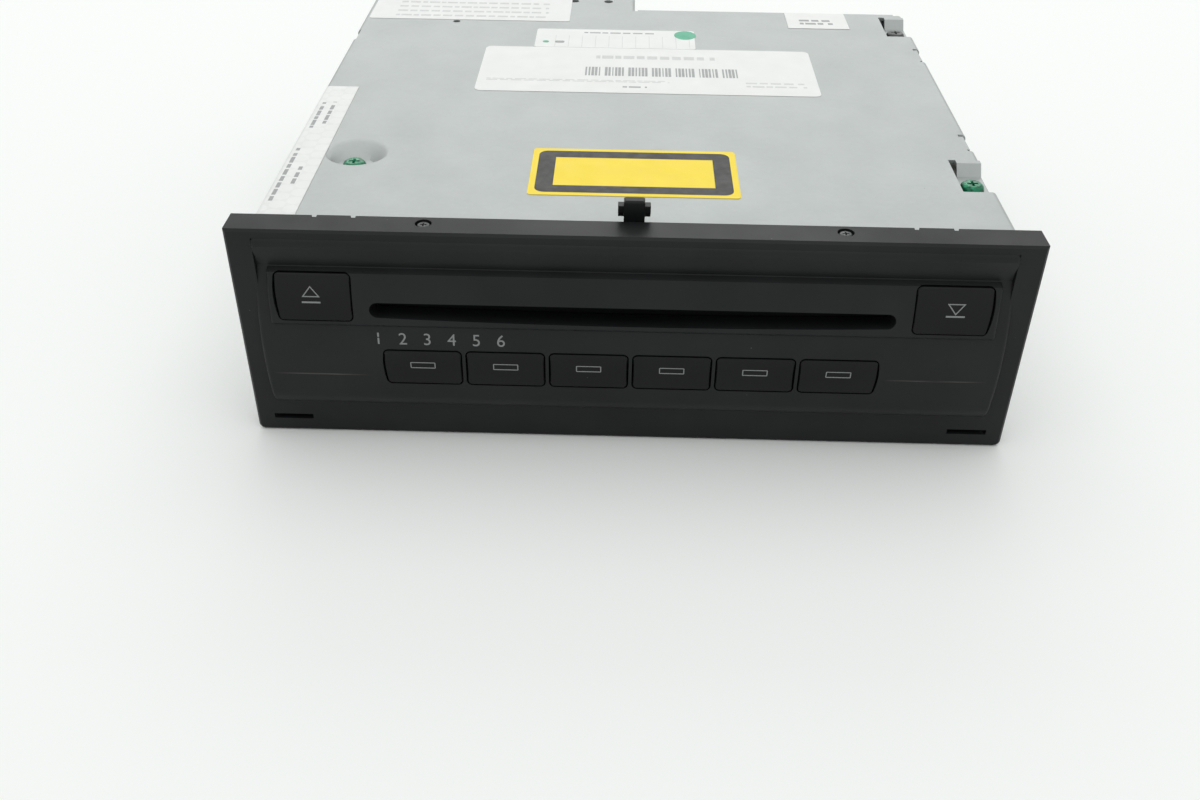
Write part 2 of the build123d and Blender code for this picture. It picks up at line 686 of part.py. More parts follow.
def ribbon_cable():
    """The flat lead from the key board, along the case's floor, to the main board."""
    thick, low = 0.3, floor_top + 0.25
    turn_y, up_y = board_y + board_t, pcb_y - 1.2
    path = Polyline((turn_y + 0.3, 12), (turn_y + 0.3, low), (rear - 3, low), (rear - 3, window[2] + 0.6),
                    (up_y, window[2] + 0.6), (up_y, 24), (pcb_y, 24))
    return prism_x(offset_strip(path, thick), box_right - 29.8, box_right - 17.8)


def offset_strip(line, thick):
    """A strip of even thickness to one side of a line."""
    return make_face(offset(line, thick, side=Side.LEFT, closed=True))


# ---------------------------------------------------------------- gears
def gear_face(teeth, phase=0.0):
    """A spur gear's outline in Y and Z, with the middle of one tooth at the angle phase."""
    pitch_r = gear_module * teeth / 2
    base_r = pitch_r * cos(radians(20))
    root_r = pitch_r - gear_root
    tip_r = pitch_r + gear_tip
    half_tooth = pi / (2 * teeth) - backlash / (2 * pitch_r)
    flank = half_tooth + tan(radians(20)) - radians(20)
    marks = []
    for step in range(3):
        radius = max(base_r, root_r) + (tip_r - max(base_r, root_r)) * step / 2
        slope = acos(min(1, base_r / radius))
        marks.append((radius, flank - (tan(slope) - slope)))
    marks.insert(0, (root_r, marks[0][1]))
    points = []
    for n in range(teeth):
        middle = phase + 2 * pi * n / teeth
        side = [(radius, middle - angle) for radius, angle in marks]
        side += [(radius, middle + angle) for radius, angle in reversed(marks)]
        points += [(radius * cos(angle), radius * sin(angle)) for radius, angle in side]
    return make_face(Polyline(*points, close=True))


def gear(teeth, y, z, x0, x1, bore, phase=0.0):
    """A spur gear on an axis along X, with a round bore."""
    face = Pos(y, z) * (gear_face(teeth, phase) - Circle(bore))
    return prism_x(face, x0, x1)


def mesh_phase(phase, teeth, angle, other_teeth):
    """The phase of a gear that meshes with another one, seen from which it lies at an angle."""
    pitch = 2 * pi / teeth
    offset_angle = (angle - phase) % pitch
    return angle + pi + offset_angle * teeth / other_teeth + pi / other_teeth


def motor(axis_y, axis_z, x0, x1):
    """A round motor with two flats, a bearing nose and its end cap."""
    low, high = min(x0, x1), max(x0, x1)
    can = rod("X", axis_y, axis_z, low, high, motor_r)
    can &= block(low, high, axis_y - motor_r, axis_y + motor_r, axis_z - motor_r + 0.8,
                 axis_z + motor_r - 0.8)
    cap = x0 - 1.2 if x0 < x1 else x0 + 1.2
    return can + rod("X", axis_y, axis_z, min(cap, x0), max(cap, x0), 3.5)


load_phase = mesh_phase(0, roller_teeth, -pi / 2, roller_teeth)
load_pinion_phase = mesh_phase(load_phase, roller_teeth, load_angle, pinion_teeth)
lift_phase = -pi / 2
lift_pinion_phase = mesh_phase(lift_phase, lift_teeth, pi, pinion_teeth)


# ---------------------------------------------------------------- mechanism: frame and mounts
def mech_frame():
    """The deck with its two side walls, lift slots, studs for the cam slide and bearing holes."""
    inner = mech_inner
    deck = block(-mech_x, mech_x, mech_front + 6, mech_rear, deck_z, deck_z + mech_sheet)
    wall = block(inner, mech_x, mech_front, mech_rear, deck_z, mech_top)
    wall = fillet(wall.edges().filter_by(Axis.X).group_by(Axis.Z)[-1], 3.0)
    for y in lift_pin_y:
        slot = slot_face(lift_pin_z, lift_pin_z + lift_rise, 0, lift_pin_r + fit)
        slot = Pos(inner - 1, y, 0) * (Rot(0, -90, 0) * extrude(slot, 2 * mech_sheet, both=True))
        wall -= slot
    wall -= rod("X", roller_y, roller_z, inner - 1, mech_x + 1, bushing_r)
    for y in guide_stud_y:
        wall += rod("X", y, guide_stud_z, mech_x - 0.2, slide_x + slide_t + 0.3, guide_stud_r)
        wall += rod("X", y, guide_stud_z, slide_x + slide_t + 0.3, slide_x + slide_t + 1.3, 2.6)
    for y in damper_y:
        wall += rod("X", y, damper_z, mech_x - 0.2, mech_x + 3.0, 1.4)
    left = mirror(wall, Plane.YZ)
    left -= rod("X", load_pinion_y, load_pinion_z, -mech_x - 1, -inner + 1, 2.0)
    left -= rod("X", roller_y, idler_z, -mech_x - 1, -inner + 1, stub_r)
    right = wall - rod("X", lift_pinion_y, lift_gear_z, inner - 1, mech_x + 1, 2.0)
    right -= rod("X", lift_gear_y, lift_gear_z, inner - 1, mech_x + 1, stub_r)
    deck -= block(-mech_x, -inner + motor_len + 3, mech_front, load_pinion_y + motor_r + 1,
                  deck_z - 1, deck_z + 2)
    deck -= rod("Z", disc_bore_x, disc_y, deck_z - 1, deck_z + 2, 22)
    deck += rod("Z", *arm_pivot, deck_z, deck_z + mech_sheet, 6)
    deck -= rod("Z", *arm_pivot, deck_z - 1, deck_z + 2, 2.0)
    return deck + left + right


def dampers():
    """Waisted rubber mounts between the case's walls and the mechanism's studs."""
    group = Part()
    near, far = mech_x + 0.2, wall_x - sheet
    for y in damper_y:
        mount = rod("X", y, damper_z, near, near + 2.0, damper_r)
        mount += rod("X", y, damper_z, near + 2.0, far - 2.0, damper_r - 0.9)
        mount += rod("X", y, damper_z, far - 2.0, far, damper_r)
        group += mount - rod("X", y, damper_z, mech_x, mech_x + 3.2, 1.45)
    return both_sides(group)


# ---------------------------------------------------------------- mechanism: disc feed
def roller_shaft():
    """The feed roller's steel shaft, long enough on the left for its gear."""
    return rod("X", roller_y, roller_z, gear_left[0] - 0.5, mech_x, roller_shaft_r)


def roller_rubber():
    """Two rubber sleeves that taper towards the middle, so that only the disc's edge is gripped."""
    far, near = disc_r + 4, 3.0
    tube = make_face(Polyline((near, roller_shaft_r), (near, roller_r - 0.9), (far - 6, roller_r),
                              (far, roller_r), (far, roller_shaft_r), close=True))
    sleeve = Pos(0, roller_y, roller_z) * revolve(Plane.XY * tube, Axis.X)
    return both_sides(sleeve)


def roller_bushings():
    """Flanged bushes in the walls that carry the roller's shaft."""
    inner = mech_inner
    bush = rod("X", roller_y, roller_z, inner, mech_x, bushing_r)
    bush += rod("X", roller_y, roller_z, inner - 1.2, inner, bushing_r + 1)
    bush -= rod("X", roller_y, roller_z, inner - 2, mech_x + 1, roller_shaft_r + fit)
    return both_sides(bush)


def roller_gear():
    """The gear pressed on the roller's shaft, with a hub ring."""
    wheel = gear(roller_teeth, roller_y, roller_z, *gear_left, roller_shaft_r)
    web = rod("X", roller_y, roller_z, gear_left[0] - 1, gear_left[0] + 0.6, 5.4)
    hub = rod("X", roller_y, roller_z, gear_left[0] - 2, gear_left[0] + 0.7, 2.9)
    return wheel - (web - hub)


def idler_gear():
    """The gear between the motor's pinion and the roller."""
    wheel = gear(roller_teeth, roller_y, idler_z, *gear_left, stub_r + fit, load_phase)
    for n in range(4):
        angle = n * pi / 2 + 0.4
        wheel -= rod("X", roller_y + 3.9 * cos(angle), idler_z + 3.9 * sin(angle),
                     gear_left[0] - 1, 0, 1.2)
    return wheel


def idler_pin():
    """The idler's stub axle, riveted in the left wall, with a head outside the gear."""
    pin = rod("X", roller_y, idler_z, gear_left[0] - 0.3, -mech_x + mech_sheet, stub_r)
    return pin + rod("X", roller_y, idler_z, gear_left[0] - 1.1, gear_left[0] - 0.3, 2.0)


def load_motor():
    """The feed motor, screwed inside the left wall, under the roller."""
    inner = mech_inner
    body = motor(load_pinion_y, load_pinion_z, -inner + motor_len, -inner)
    nose = rod("X", load_pinion_y, load_pinion_z, -mech_x, -inner + 0.5, 1.9)
    return body + nose - rod("X", load_pinion_y, load_pinion_z, -mech_x - 1, -inner + 6, 0.8)


def load_pinion():
    """The feed motor's pinion with its shaft."""
    wheel = gear(pinion_teeth, load_pinion_y, load_pinion_z, *gear_left, 0.7, load_pinion_phase)
    return wheel + rod("X", load_pinion_y, load_pinion_z, gear_left[0], -mech_x + 6.5, 0.7)


def disc_guide_upper():
    """The folded plate over the roller that holds the disc down, with a flared mouth."""
    inner = mech_inner
    low = disc_z + disc_t + 1.4
    y0, y1 = mech_front + 0.4, disc_y - disc_r - 3
    plate = block(-inner, inner, y0, y1, low, low + 1.0)
    bead = block(-disc_r - 2, -disc_r + 6, y0 + 2, y1 - 2, low - 0.6, low)
    plate += both_sides(chamfer(bead.faces().sort_by(Axis.Z)[0].edges(), 0.3))
    lip = make_face(Polyline((y0, low), (y0, low + 1), (y0 - 1.6, low + 2.6), (y0 - 2.2, low + 2.0),
                             close=True))
    plate += prism_x(lip, -disc_r, disc_r)
    ear = block(inner - 1.0, inner, y0, y1, low + 0.5, low + 6.0)
    plate += both_sides(ear)
    return plate - rod("Z", 0, y1 + 22, low - 1, low + 2, 26)


# ---------------------------------------------------------------- mechanism: lift
def slide_side():
    """One side of the cam slide: two rising lift slots over two level guide slots."""
    front, back = lift_pin_y[0] - slide_travel - 3.5, lift_pin_y[1] + 4.5
    side = block(slide_x, slide_x + slide_t, front, back, guide_stud_z - 3, slide_top)
    length = (lift_rise**2 + slide_travel**2) ** 0.5
    along = (0, -slide_travel / length, lift_rise / length)
    for y in lift_pin_y:
        slot = extrude(Pos(length / 2, 0) * SlotCenterToCenter(length, 2 * (lift_pin_r + fit)), 4)
        side -= Plane(origin=(slide_x - 1, y, lift_pin_z), x_dir=along, z_dir=(1, 0, 0)) * slot
    for y in guide_stud_y:
        side -= prism_x(slot_face(y - slide_travel, y, guide_stud_z, guide_stud_r + fit),
                        slide_x - 1, slide_x + slide_t + 1)
    return side


def cam_slide():
    """The U-shaped slide that lifts the magazine: two slotted sides, a crossbar and a rack."""
    side = slide_side()
    side += block(slide_x, slide_x + slide_t, *crossbar_y, bar_z, guide_stud_z - 2.5)
    bar = block(-slide_x - slide_t, slide_x + slide_t, *crossbar_y, bar_z, bar_z + 1.0)
    pitch = pi * gear_module
    first = -int((slide_travel + 3) / pitch) - 1
    wide = pitch / 4 - backlash / 2 + gear_root * tan(radians(20))
    narrow = pitch / 4 - backlash / 2 - gear_tip * tan(radians(20))
    teeth = []
    for n in range(first, 2):
        middle = lift_gear_y + (n + 0.5) * pitch
        teeth += [(middle - wide, slide_top), (middle - narrow, rack_z + gear_tip),
                  (middle + narrow, rack_z + gear_tip), (middle + wide, slide_top)]
    teeth += [(teeth[-1][0], slide_top - 0.5), (teeth[0][0], slide_top - 0.5)]
    rack = prism_x(make_face(Polyline(*teeth, close=True)), slide_x, slide_x + slide_t)
    return side + mirror(side, Plane.YZ) + bar + rack


def lift_gear():
    """The gear that drives the cam slide's rack."""
    return gear(lift_teeth, lift_gear_y, lift_gear_z, *gear_right, stub_r + fit, lift_phase)


def lift_gear_pin():
    """The lift gear's stub axle in the right wall."""
    pin = rod("X", lift_gear_y, lift_gear_z, mech_x - mech_sheet, gear_right[1] + 0.3, stub_r)
    return pin + rod("X", lift_gear_y, lift_gear_z, gear_right[1] + 0.3, gear_right[1] + 1.1, 2.0)


def lift_motor():
    """The lift motor inside the right wall."""
    inner = mech_inner
    body = motor(lift_pinion_y, lift_gear_z, inner - motor_len + 2, inner)
    nose = rod("X", lift_pinion_y, lift_gear_z, inner - 0.5, mech_x, 1.9)
    return body + nose - rod("X", lift_pinion_y, lift_gear_z, inner - 6, mech_x + 1, 0.8)


def lift_pinion():
    """The lift motor's pinion with its shaft."""
    wheel = gear(pinion_teeth, lift_pinion_y, lift_gear_z, *pinion_right, 0.7, lift_pinion_phase)
    return wheel + rod("X", lift_pinion_y, lift_gear_z, mech_x - 6.5, pinion_right[1], 0.7)


# ---------------------------------------------------------------- mechanism: magazine
def stocker_frame():
    """The magazine's U-shaped base with side walls, lift pins and four tray posts."""
    wall_y = (lift_pin_y[0] - 2.5, lift_pin_y[1] + 10)
    base = block(-magazine_x, magazine_x, disc_y - 34, disc_y + disc_r + 3, stocker_z,
                 stocker_z + stocker_t)
    base -= rod("Z", 0, disc_y, stocker_z - 1, stocker_z + 2, disc_r - 4)
    base -= block(-20, 20, disc_y - 60, disc_y, stocker_z - 1, stocker_z + 2)
    wall = block(magazine_x - 1.2, magazine_x, *wall_y, stocker_z, lift_pin_z + 2.6)
    for y in lift_pin_y:
        wall += rod("X", y, lift_pin_z, magazine_x - 0.2, slide_x + slide_t + 0.6, lift_pin_r)
    base += both_sides(wall)
    for x, y in ears:
        base += rod("Z", x, y, stocker_z, boss_z + tray_count * tray_pitch + 0.8, post_r)
    return base


def disc_tray(n):
    """A ring tray with a notch for the lens and four spacer blocks that slide on the posts."""
    low = boss_z + n * tray_pitch
    tray = Pos(0, disc_y) * (Circle(disc_r + 1.5) - Circle(disc_r - 6))
    for y in (disc_y - ear_y, disc_y + ear_y):
        bar = Pos(0, y) * Rectangle(2 * ear_x + 8, 8)
        tray += bar - Pos(0, disc_y) * Circle(disc_r - 3)
    angle = degrees(acos(arm_dx / arm_reach))
    tray -= Pos(0, disc_y) * Rot(0, 0, 180 - angle) * Pos(disc_r - 5, 0) * Rectangle(9, 16)
    tray = prism_z(tray, low, low + tray_t)
    for x, y in ears:
        tray += block(x - 4, x + 4, y - 4, y + 4, low + tray_t, low + tray_pitch)
        tray -= rod("Z", x, y, low - 1, low + tray_pitch + 1, post_r + fit)
    return tray


# ---------------------------------------------------------------- mechanism: player
def on_arm(shape):
    """A shape drawn with the pivot at the origin and the spindle along X, at its parked place."""
    return Pos(arm_pivot[0], arm_pivot[1], 0) * Rot(0, 0, arm_parked) * shape


def arm_pivot_post():
    """The arm's pivot, riveted to the deck, with a washer under the arm and a head over it."""
    x, y = arm_pivot
    post = rod("Z", x, y, deck_z, arm_z + arm_t + 1.6, 2.0)
    post += rod("Z", x, y, deck_z + mech_sheet, arm_z - 0.1, 5.0)
    return post + rod("Z", x, y, arm_z + arm_t + 0.1, arm_z + arm_t + 1.6, 4.0)


def traverse_arm():
    """The swinging arm: a tapered plate with a window for the sled and lugs for rods and screw."""
    outline = make_hull([*Circle(13).edges(), *(Pos(arm_reach, 0) * Circle(16.5)).edges()])
    plate = extrude(outline, arm_t)
    plate -= block(window_u[0], window_u[1], -10.5, 10.5, -1, 3)
    plate -= rod("Z", arm_reach, 0, -1, 3, 2.0)
    plate -= rod("Z", 0, 0, -1, 3, 2.0 + fit)
    arm = Pos(0, 0, arm_z) * plate
    for u in (window_u[0] - 2.5, window_u[1] + 0.5):
        for v in (-rod_v, rod_v):
            arm += block(u, u + 2, v - 2, v + 2, arm_z + arm_t, rod_z + rod_r + 1)
            arm -= rod("X", v, rod_z, u - 1, u + 3, rod_r)
        arm += block(u, u + 2, screw_v - 2, screw_v + 2, screw_z - screw_r - 1, arm_z)
        arm -= rod("X", screw_v, screw_z, u - 1, u + 3, screw_r + fit)
    return on_arm(arm)


def guide_rods():
    """The two rods that the sled runs on."""
    ends = (window_u[0] - 2.5, window_u[1] + 2.5)
    return on_arm(rod("X", -rod_v, rod_z, *ends, rod_r) + rod("X", rod_v, rod_z, *ends, rod_r))


def lead_screw():
    """The sled's lead screw with its collar."""
    start, end = window_u[0] - 2.5, window_u[1] + 3.0
    bar = rod("X", screw_v, screw_z, start, end + 3, screw_r)
    return on_arm(bar + rod("X", screw_v, screw_z, window_u[0] + 0.1, window_u[0] + 1.0, 1.8))


def sled_motor():
    """The flat motor at the end of the lead screw, under the arm's tip."""
    start = window_u[1] + 3.5
    body = block(start, start + 11, screw_v - 4, screw_v + 4, arm_z - 4.2, arm_z)
    body = fillet(body.edges().filter_by(Axis.X), 1.0)
    return on_arm(body - rod("X", screw_v, screw_z, start - 1, start + 4, screw_r + fit))


def pickup_sled():
    """The optical sled on its rods: a block with bearing arms and a pocket for the lens."""
    low, high = arm_z - 1.0, rod_z + 2.0
    sled = block(lens_u - sled_half, lens_u + sled_half, -10, 10, low, high)
    sled += block(lens_u - 5, lens_u + 5, -rod_v - 2.2, rod_v + 2.2, arm_z + arm_t + 0.3, high)
    for v in (-rod_v, rod_v):
        sled -= rod("X", v, rod_z, lens_u - 9, lens_u + 9, rod_r + fit)
    nut = block(lens_u - 3, lens_u + 3, screw_v - 1.4, screw_v + 2.2, screw_z - screw_r - 1.2, low)
    sled += nut
    sled -= rod("X", screw_v, screw_z, lens_u - 9, lens_u + 9, screw_r + 0.15)
    sled -= rod("Z", lens_u, 0, high - 1.5, high + 1, 4.2)
    return on_arm(sled)


def objective_lens():
    """The lens holder in the sled's pocket, with a domed lens."""
    top = rod_z + 2.0
    holder = rod("Z", lens_u, 0, top - 1.5, top + 0.3, 3.6) - rod("Z", lens_u, 0, top - 0.2, top + 1, 2.2)
    return on_arm(holder + Pos(lens_u, 0, top - 0.2) * Cylinder(2.2, 0.4))


def spindle_motor():
    """The flat spindle motor on the arm's tip."""
    body = rod("Z", arm_reach, 0, spindle_z, spindle_z + spindle_h, spindle_motor_r)
    body = chamfer(body.edges().filter_by(GeomType.CIRCLE).group_by(Axis.Z)[-1], 0.5)
    return on_arm(body - rod("Z", arm_reach, 0, arm_z - 1, 30, 1.0 + fit))


def turntable():
    """The turntable with its rubber ring's step, centring hub and three chuck claws."""
    low = spindle_z + spindle_h + 0.2
    table = rod("Z", 0, 0, low, low + 0.9, 12.5) + rod("Z", 0, 0, low + 0.9, low + 2.3, 7.3)
    table = chamfer(table.edges().filter_by(GeomType.CIRCLE).group_by(Axis.Z)[-1], 0.5)
    for n in range(3):
        claw = block(5.4, 7.3, -0.9, 0.9, low + 0.9, low + 3)
        table -= Rot(0, 0, 120 * n) * (block(4.8, 8, -1.3, 1.3, low + 1.2, low + 4))
        table += Rot(0, 0, 120 * n) * (claw & block(0, 7.6, -1, 1, low, low + 2.2))
    table += rod("Z", 0, 0, arm_z - 0.2, low + 0.1, 1.0)
    return on_arm(Pos(arm_reach, 0, 0) * table)


# ---------------------------------------------------------------- all pieces
def pieces():
    """Every piece by its name."""
    makers = [fascia, slot_shutter, retaining_catch, front_board, tact_switches, leds, board_screws,
              fascia_screws, lower_chassis, top_cover, rear_connector_box, main_board, rear_connector,
              ribbon_cable, mech_frame, dampers, roller_shaft, roller_rubber, roller_bushings,
              roller_gear, idler_gear, idler_pin, load_motor, load_pinion, disc_guide_upper, cam_slide,
              lift_gear, lift_gear_pin, lift_motor, lift_pinion, stocker_frame, arm_pivot_post,
              traverse_arm, guide_rods, lead_screw, sled_motor, pickup_sled, objective_lens,
              spindle_motor, turntable]
    for maker in makers:
        yield maker.__name__, maker()
    for name, size in key_faces().items():
        yield name, key(*size)
    for n in range(tray_count):
        yield f"disc_tray_{n + 1}", disc_tray(n)
    yield "cover_screws_marked", cover_screws(marked_screws_at)
    yield "cover_screw_plain", cover_screws([plain_screw_at])


def save():
    """Write one file for each piece, with the origin under the middle of the whole changer."""
    os.makedirs("parts", exist_ok=True)
    for name, shape in pieces():
        export_step(Pos(0, shift, 0) * shape, f"parts/{name}.step")


save()
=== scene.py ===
import json
from math import cos, pi, radians, sin, tau

import bmesh
import bpy
from bpy.props import FloatProperty, FloatVectorProperty, IntProperty, PointerProperty
from bpy.types import Operator, Panel, PropertyGroup
from mathutils import Matrix, Vector
from mathutils.bvhtree import BVHTree

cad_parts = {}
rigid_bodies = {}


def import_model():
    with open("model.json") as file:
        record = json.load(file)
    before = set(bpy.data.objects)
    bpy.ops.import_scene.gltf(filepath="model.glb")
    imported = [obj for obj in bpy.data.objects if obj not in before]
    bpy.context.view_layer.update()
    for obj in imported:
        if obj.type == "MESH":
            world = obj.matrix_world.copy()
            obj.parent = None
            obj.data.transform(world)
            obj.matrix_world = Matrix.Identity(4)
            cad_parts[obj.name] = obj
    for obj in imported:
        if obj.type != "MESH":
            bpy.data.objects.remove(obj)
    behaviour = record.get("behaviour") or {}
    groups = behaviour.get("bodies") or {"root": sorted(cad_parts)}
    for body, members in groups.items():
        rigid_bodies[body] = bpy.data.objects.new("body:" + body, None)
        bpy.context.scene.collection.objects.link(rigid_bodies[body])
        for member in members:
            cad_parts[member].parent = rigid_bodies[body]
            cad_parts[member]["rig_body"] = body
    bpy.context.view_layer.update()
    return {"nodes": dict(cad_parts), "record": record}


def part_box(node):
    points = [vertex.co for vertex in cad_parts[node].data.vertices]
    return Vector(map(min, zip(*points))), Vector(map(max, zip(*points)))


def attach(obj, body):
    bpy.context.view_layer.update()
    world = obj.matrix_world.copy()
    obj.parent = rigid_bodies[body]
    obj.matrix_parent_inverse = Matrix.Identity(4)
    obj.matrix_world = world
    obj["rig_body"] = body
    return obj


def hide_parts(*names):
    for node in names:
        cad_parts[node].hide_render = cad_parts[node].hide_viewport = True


bl_info = {
    "name": "Disc changer looks",
    "version": (1, 0, 0),
    "blender": (4, 5, 0),
    "location": "3D View > Sidebar > Changer",
    "description": "Finishes, labels, prints and screws of a slot-loading disc changer",
    "category": "Object",
}

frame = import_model()

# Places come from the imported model. Lengths written here are millimetres times mm. The places of
# labels and their prints are plain millimetres: across the lid from the case's middle, and along
# it from the front plane of the fascia's frame.
mm = 0.001
lid_low, lid_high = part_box("top_cover")
lid_setback = 3.5 * mm
front_plane = lid_low.y - lid_setback
lid_top = lid_high.z
side_x = lid_high.x
rim_top = lid_top + 2.0 * mm
key_nodes = [f"disc_button_{n + 1}" for n in range(6)]

# Sharp edges of the rounded CAD nodes are those that turn by more than this angle.
sharp_angle = radians(32)


def at(across, along):
    """A place on the lid in metres, from millimetres across and along it."""
    return Vector((across * mm, front_plane + along * mm))


# ---------------------------------------------------------------- settings
class FinishSettings(PropertyGroup):
    fascia_colour: FloatVectorProperty(
        name="Fascia", description="Colour of the moulded front", subtype="COLOR",
        default=(0.0100, 0.0110, 0.0112), min=0, max=1)
    key_colour: FloatVectorProperty(
        name="Keys", description="Colour of the key caps", subtype="COLOR",
        default=(0.0050, 0.0054, 0.0056), min=0, max=1)
    sheet_colour: FloatVectorProperty(
        name="Sheet metal", description="Colour of the zinc-coated sheet", subtype="COLOR",
        default=(0.385, 0.410, 0.402), min=0, max=1)
    print_colour: FloatVectorProperty(
        name="Prints", description="Colour of the marks printed on the front", subtype="COLOR",
        default=(0.21, 0.22, 0.22), min=0, max=1)
    paper_colour: FloatVectorProperty(
        name="Paper", description="Colour of the white labels", subtype="COLOR",
        default=(0.765, 0.775, 0.76), min=0, max=1)
    yellow_colour: FloatVectorProperty(
        name="Yellow label", description="Ground colour of the yellow label", subtype="COLOR",
        default=(0.93, 0.71, 0.042), min=0, max=1)
    mark_colour: FloatVectorProperty(
        name="Screw paint", description="Colour of the paint on the marked screws", subtype="COLOR",
        default=(0.010, 0.20, 0.095), min=0, max=1)
    plastic_roughness: FloatProperty(
        name="Plastic roughness", description="Roughness of the moulded front", subtype="FACTOR",
        default=0.46, min=0, max=1)


class LabelSettings(PropertyGroup):
    paper_thickness: FloatProperty(
        name="Paper thickness", description="Thickness of the labels", unit="LENGTH",
        subtype="DISTANCE", default=0.12 * mm, min=0.02 * mm, max=0.5 * mm, precision=6)
    ink_thickness: FloatProperty(
        name="Ink thickness", description="Thickness of the prints", unit="LENGTH",
        subtype="DISTANCE", default=0.02 * mm, min=0.005 * mm, max=0.1 * mm, precision=6)
    bar_count: IntProperty(
        name="Bars", description="Number of bars on the main label", default=46, min=4, max=120)


class StageSettings(PropertyGroup):
    focal_length: FloatProperty(
        name="Focal length", description="Focal length of the camera in millimetres",
        default=36.08, min=10, max=200)
    camera_place: FloatVectorProperty(
        name="Camera place", description="Place of the camera", subtype="TRANSLATION",
        unit="LENGTH", default=(-0.002657, front_plane - 0.242392, 0.186749))
    camera_pitch: FloatProperty(
        name="Pitch", description="How far the camera looks down", subtype="ANGLE", unit="ROTATION",
        default=radians(35.846))
    camera_yaw: FloatProperty(
        name="Yaw", description="How far the camera turns to the right", subtype="ANGLE",
        unit="ROTATION", default=radians(-1.0808))
    camera_roll: FloatProperty(
        name="Roll", description="How far the camera leans", subtype="ANGLE", unit="ROTATION",
        default=radians(0.7306))
    floor_colour: FloatVectorProperty(
        name="Floor", description="Colour of the floor", subtype="COLOR",
        default=(0.93, 0.945, 0.93), min=0, max=1)
    lamp_power: FloatProperty(
        name="Lamp", description="Power of the overhead lamp", unit="POWER", default=32.0, min=0)
    window_power: FloatProperty(
        name="Window", description="Power of the window behind the changer", unit="POWER",
        default=12.0, min=0)
    world_strength: FloatProperty(
        name="World", description="Strength of the light from all round", default=0.69, min=0)
    backdrop_strength: FloatProperty(
        name="Backdrop", description="Strength of the world where it is seen", default=0.86, min=0)


# ---------------------------------------------------------------- materials
def node(tree, kind, values=None, **choices):
    """Add a node. Values go to its inputs by name or number; a socket is linked, others are set."""
    made = tree.nodes.new("ShaderNode" + kind)
    for key, value in choices.items():
        setattr(made, key, value)
    for key, value in (values or {}).items():
        if isinstance(value, bpy.types.NodeSocket):
            tree.links.new(value, made.inputs[key])
        else:
            made.inputs[key].default_value = value
    return made


def finish(name, **constants):
    """A material with one shader, whose constants are set on the shader's own sockets."""
    material = bpy.data.materials.new(name)
    material.use_nodes = True
    tree = material.node_tree
    shader = tree.nodes["Principled BSDF"]
    for key, value in constants.items():
        socket = shader.inputs[key.replace("_", " ")]
        socket.default_value = (*value, 1.0) if hasattr(value, "__len__") and len(value) == 3 else value
    return material, tree, shader


def place(tree, scale=(1, 1, 1), shift=(0, 0, 0)):
    """The object's own coordinates, scaled and shifted."""
    source = node(tree, "TexCoord").outputs["Object"]
    return node(tree, "Mapping", {"Vector": source, "Scale": scale, "Location": shift}).outputs[0]


def noise(tree, size, detail, vector=None):
    """Cloudy noise whose features are about size long."""
    vector = vector or place(tree)
    return node(tree, "TexNoise", {"Vector": vector, "Scale": 1 / size, "Detail": detail}).outputs["Fac"]


def remap(tree, value, low, high, to_low=0.0, to_high=1.0):
    """A value carried from one range to another and kept inside it."""
    return node(tree, "MapRange", {"Value": value, "From Min": low, "From Max": high,
                                   "To Min": to_low, "To Max": to_high}).outputs[0]


def clouds(tree, size, detail, low, high):
    """A value that drifts between two others in clouds of about a size."""
    return remap(tree, noise(tree, size, detail), 0.3, 0.7, low, high)


def maths(tree, operation, a, b=0.0):
    """One step of arithmetic."""
    return node(tree, "Math", {0: a, 1: b}, operation=operation).outputs[0]


def blend_colour(tree, factor, a, b):
    """A colour between two others."""
    mix = node(tree, "Mix", data_type="RGBA")
    for key, value in ((0, factor), (6, a), (7, b)):
        if isinstance(value, bpy.types.NodeSocket):
            tree.links.new(value, mix.inputs[key])
        else:
            mix.inputs[key].default_value = value if key == 0 else (*value[:3], 1.0)
    return mix.outputs[2]


def shade(colour, factor):
    """A colour made lighter or darker."""
    return tuple(min(1.0, c * factor) for c in colour[:3])


def specks(tree, spacing, radius, share, seed):
    """Round specks of about a radius, in a share of the cells of a loose grid."""
    vector = place(tree, shift=(seed, seed * 0.7, seed * 0.3))
    cells = node(tree, "TexVoronoi", {"Vector": vector, "Scale": 1 / spacing})
    near = remap(tree, cells.outputs["Distance"], radius / spacing, 0.6 * radius / spacing)
    chosen = maths(tree, "LESS_THAN", node(tree, "SeparateColor", {
        0: cells.outputs["Color"]}).outputs[0], share)
    return maths(tree, "MULTIPLY", near, chosen)


def dress(tree, shader, base, rough, height=None, distance=0.0):
    """Link a colour, a roughness and fine relief to the shader."""
    tree.links.new(base, shader.inputs["Base Color"])
    tree.links.new(rough, shader.inputs["Roughness"])
    if height is not None:
        relief = node(tree, "Bump", {"Height": height, "Distance": distance, "Strength": 1.0})
        tree.links.new(relief.outputs[0], shader.inputs["Normal"])


def line_mask(tree, low, high, edge):
    """One inside a box of the object's coordinates, falling to zero over the edge's width."""
    source = node(tree, "SeparateXYZ", {0: node(tree, "TexCoord").outputs["Object"]})
    mask = None
    for axis in range(3):
        if low[axis] is None:
            continue
        rise = remap(tree, source.outputs[axis], low[axis] - edge[axis], low[axis] + edge[axis])
        fall = remap(tree, source.outputs[axis], high[axis] + edge[axis], high[axis] - edge[axis])
        both = maths(tree, "MULTIPLY", rise, fall)
        mask = both if mask is None else maths(tree, "MULTIPLY", mask, both)
    return mask


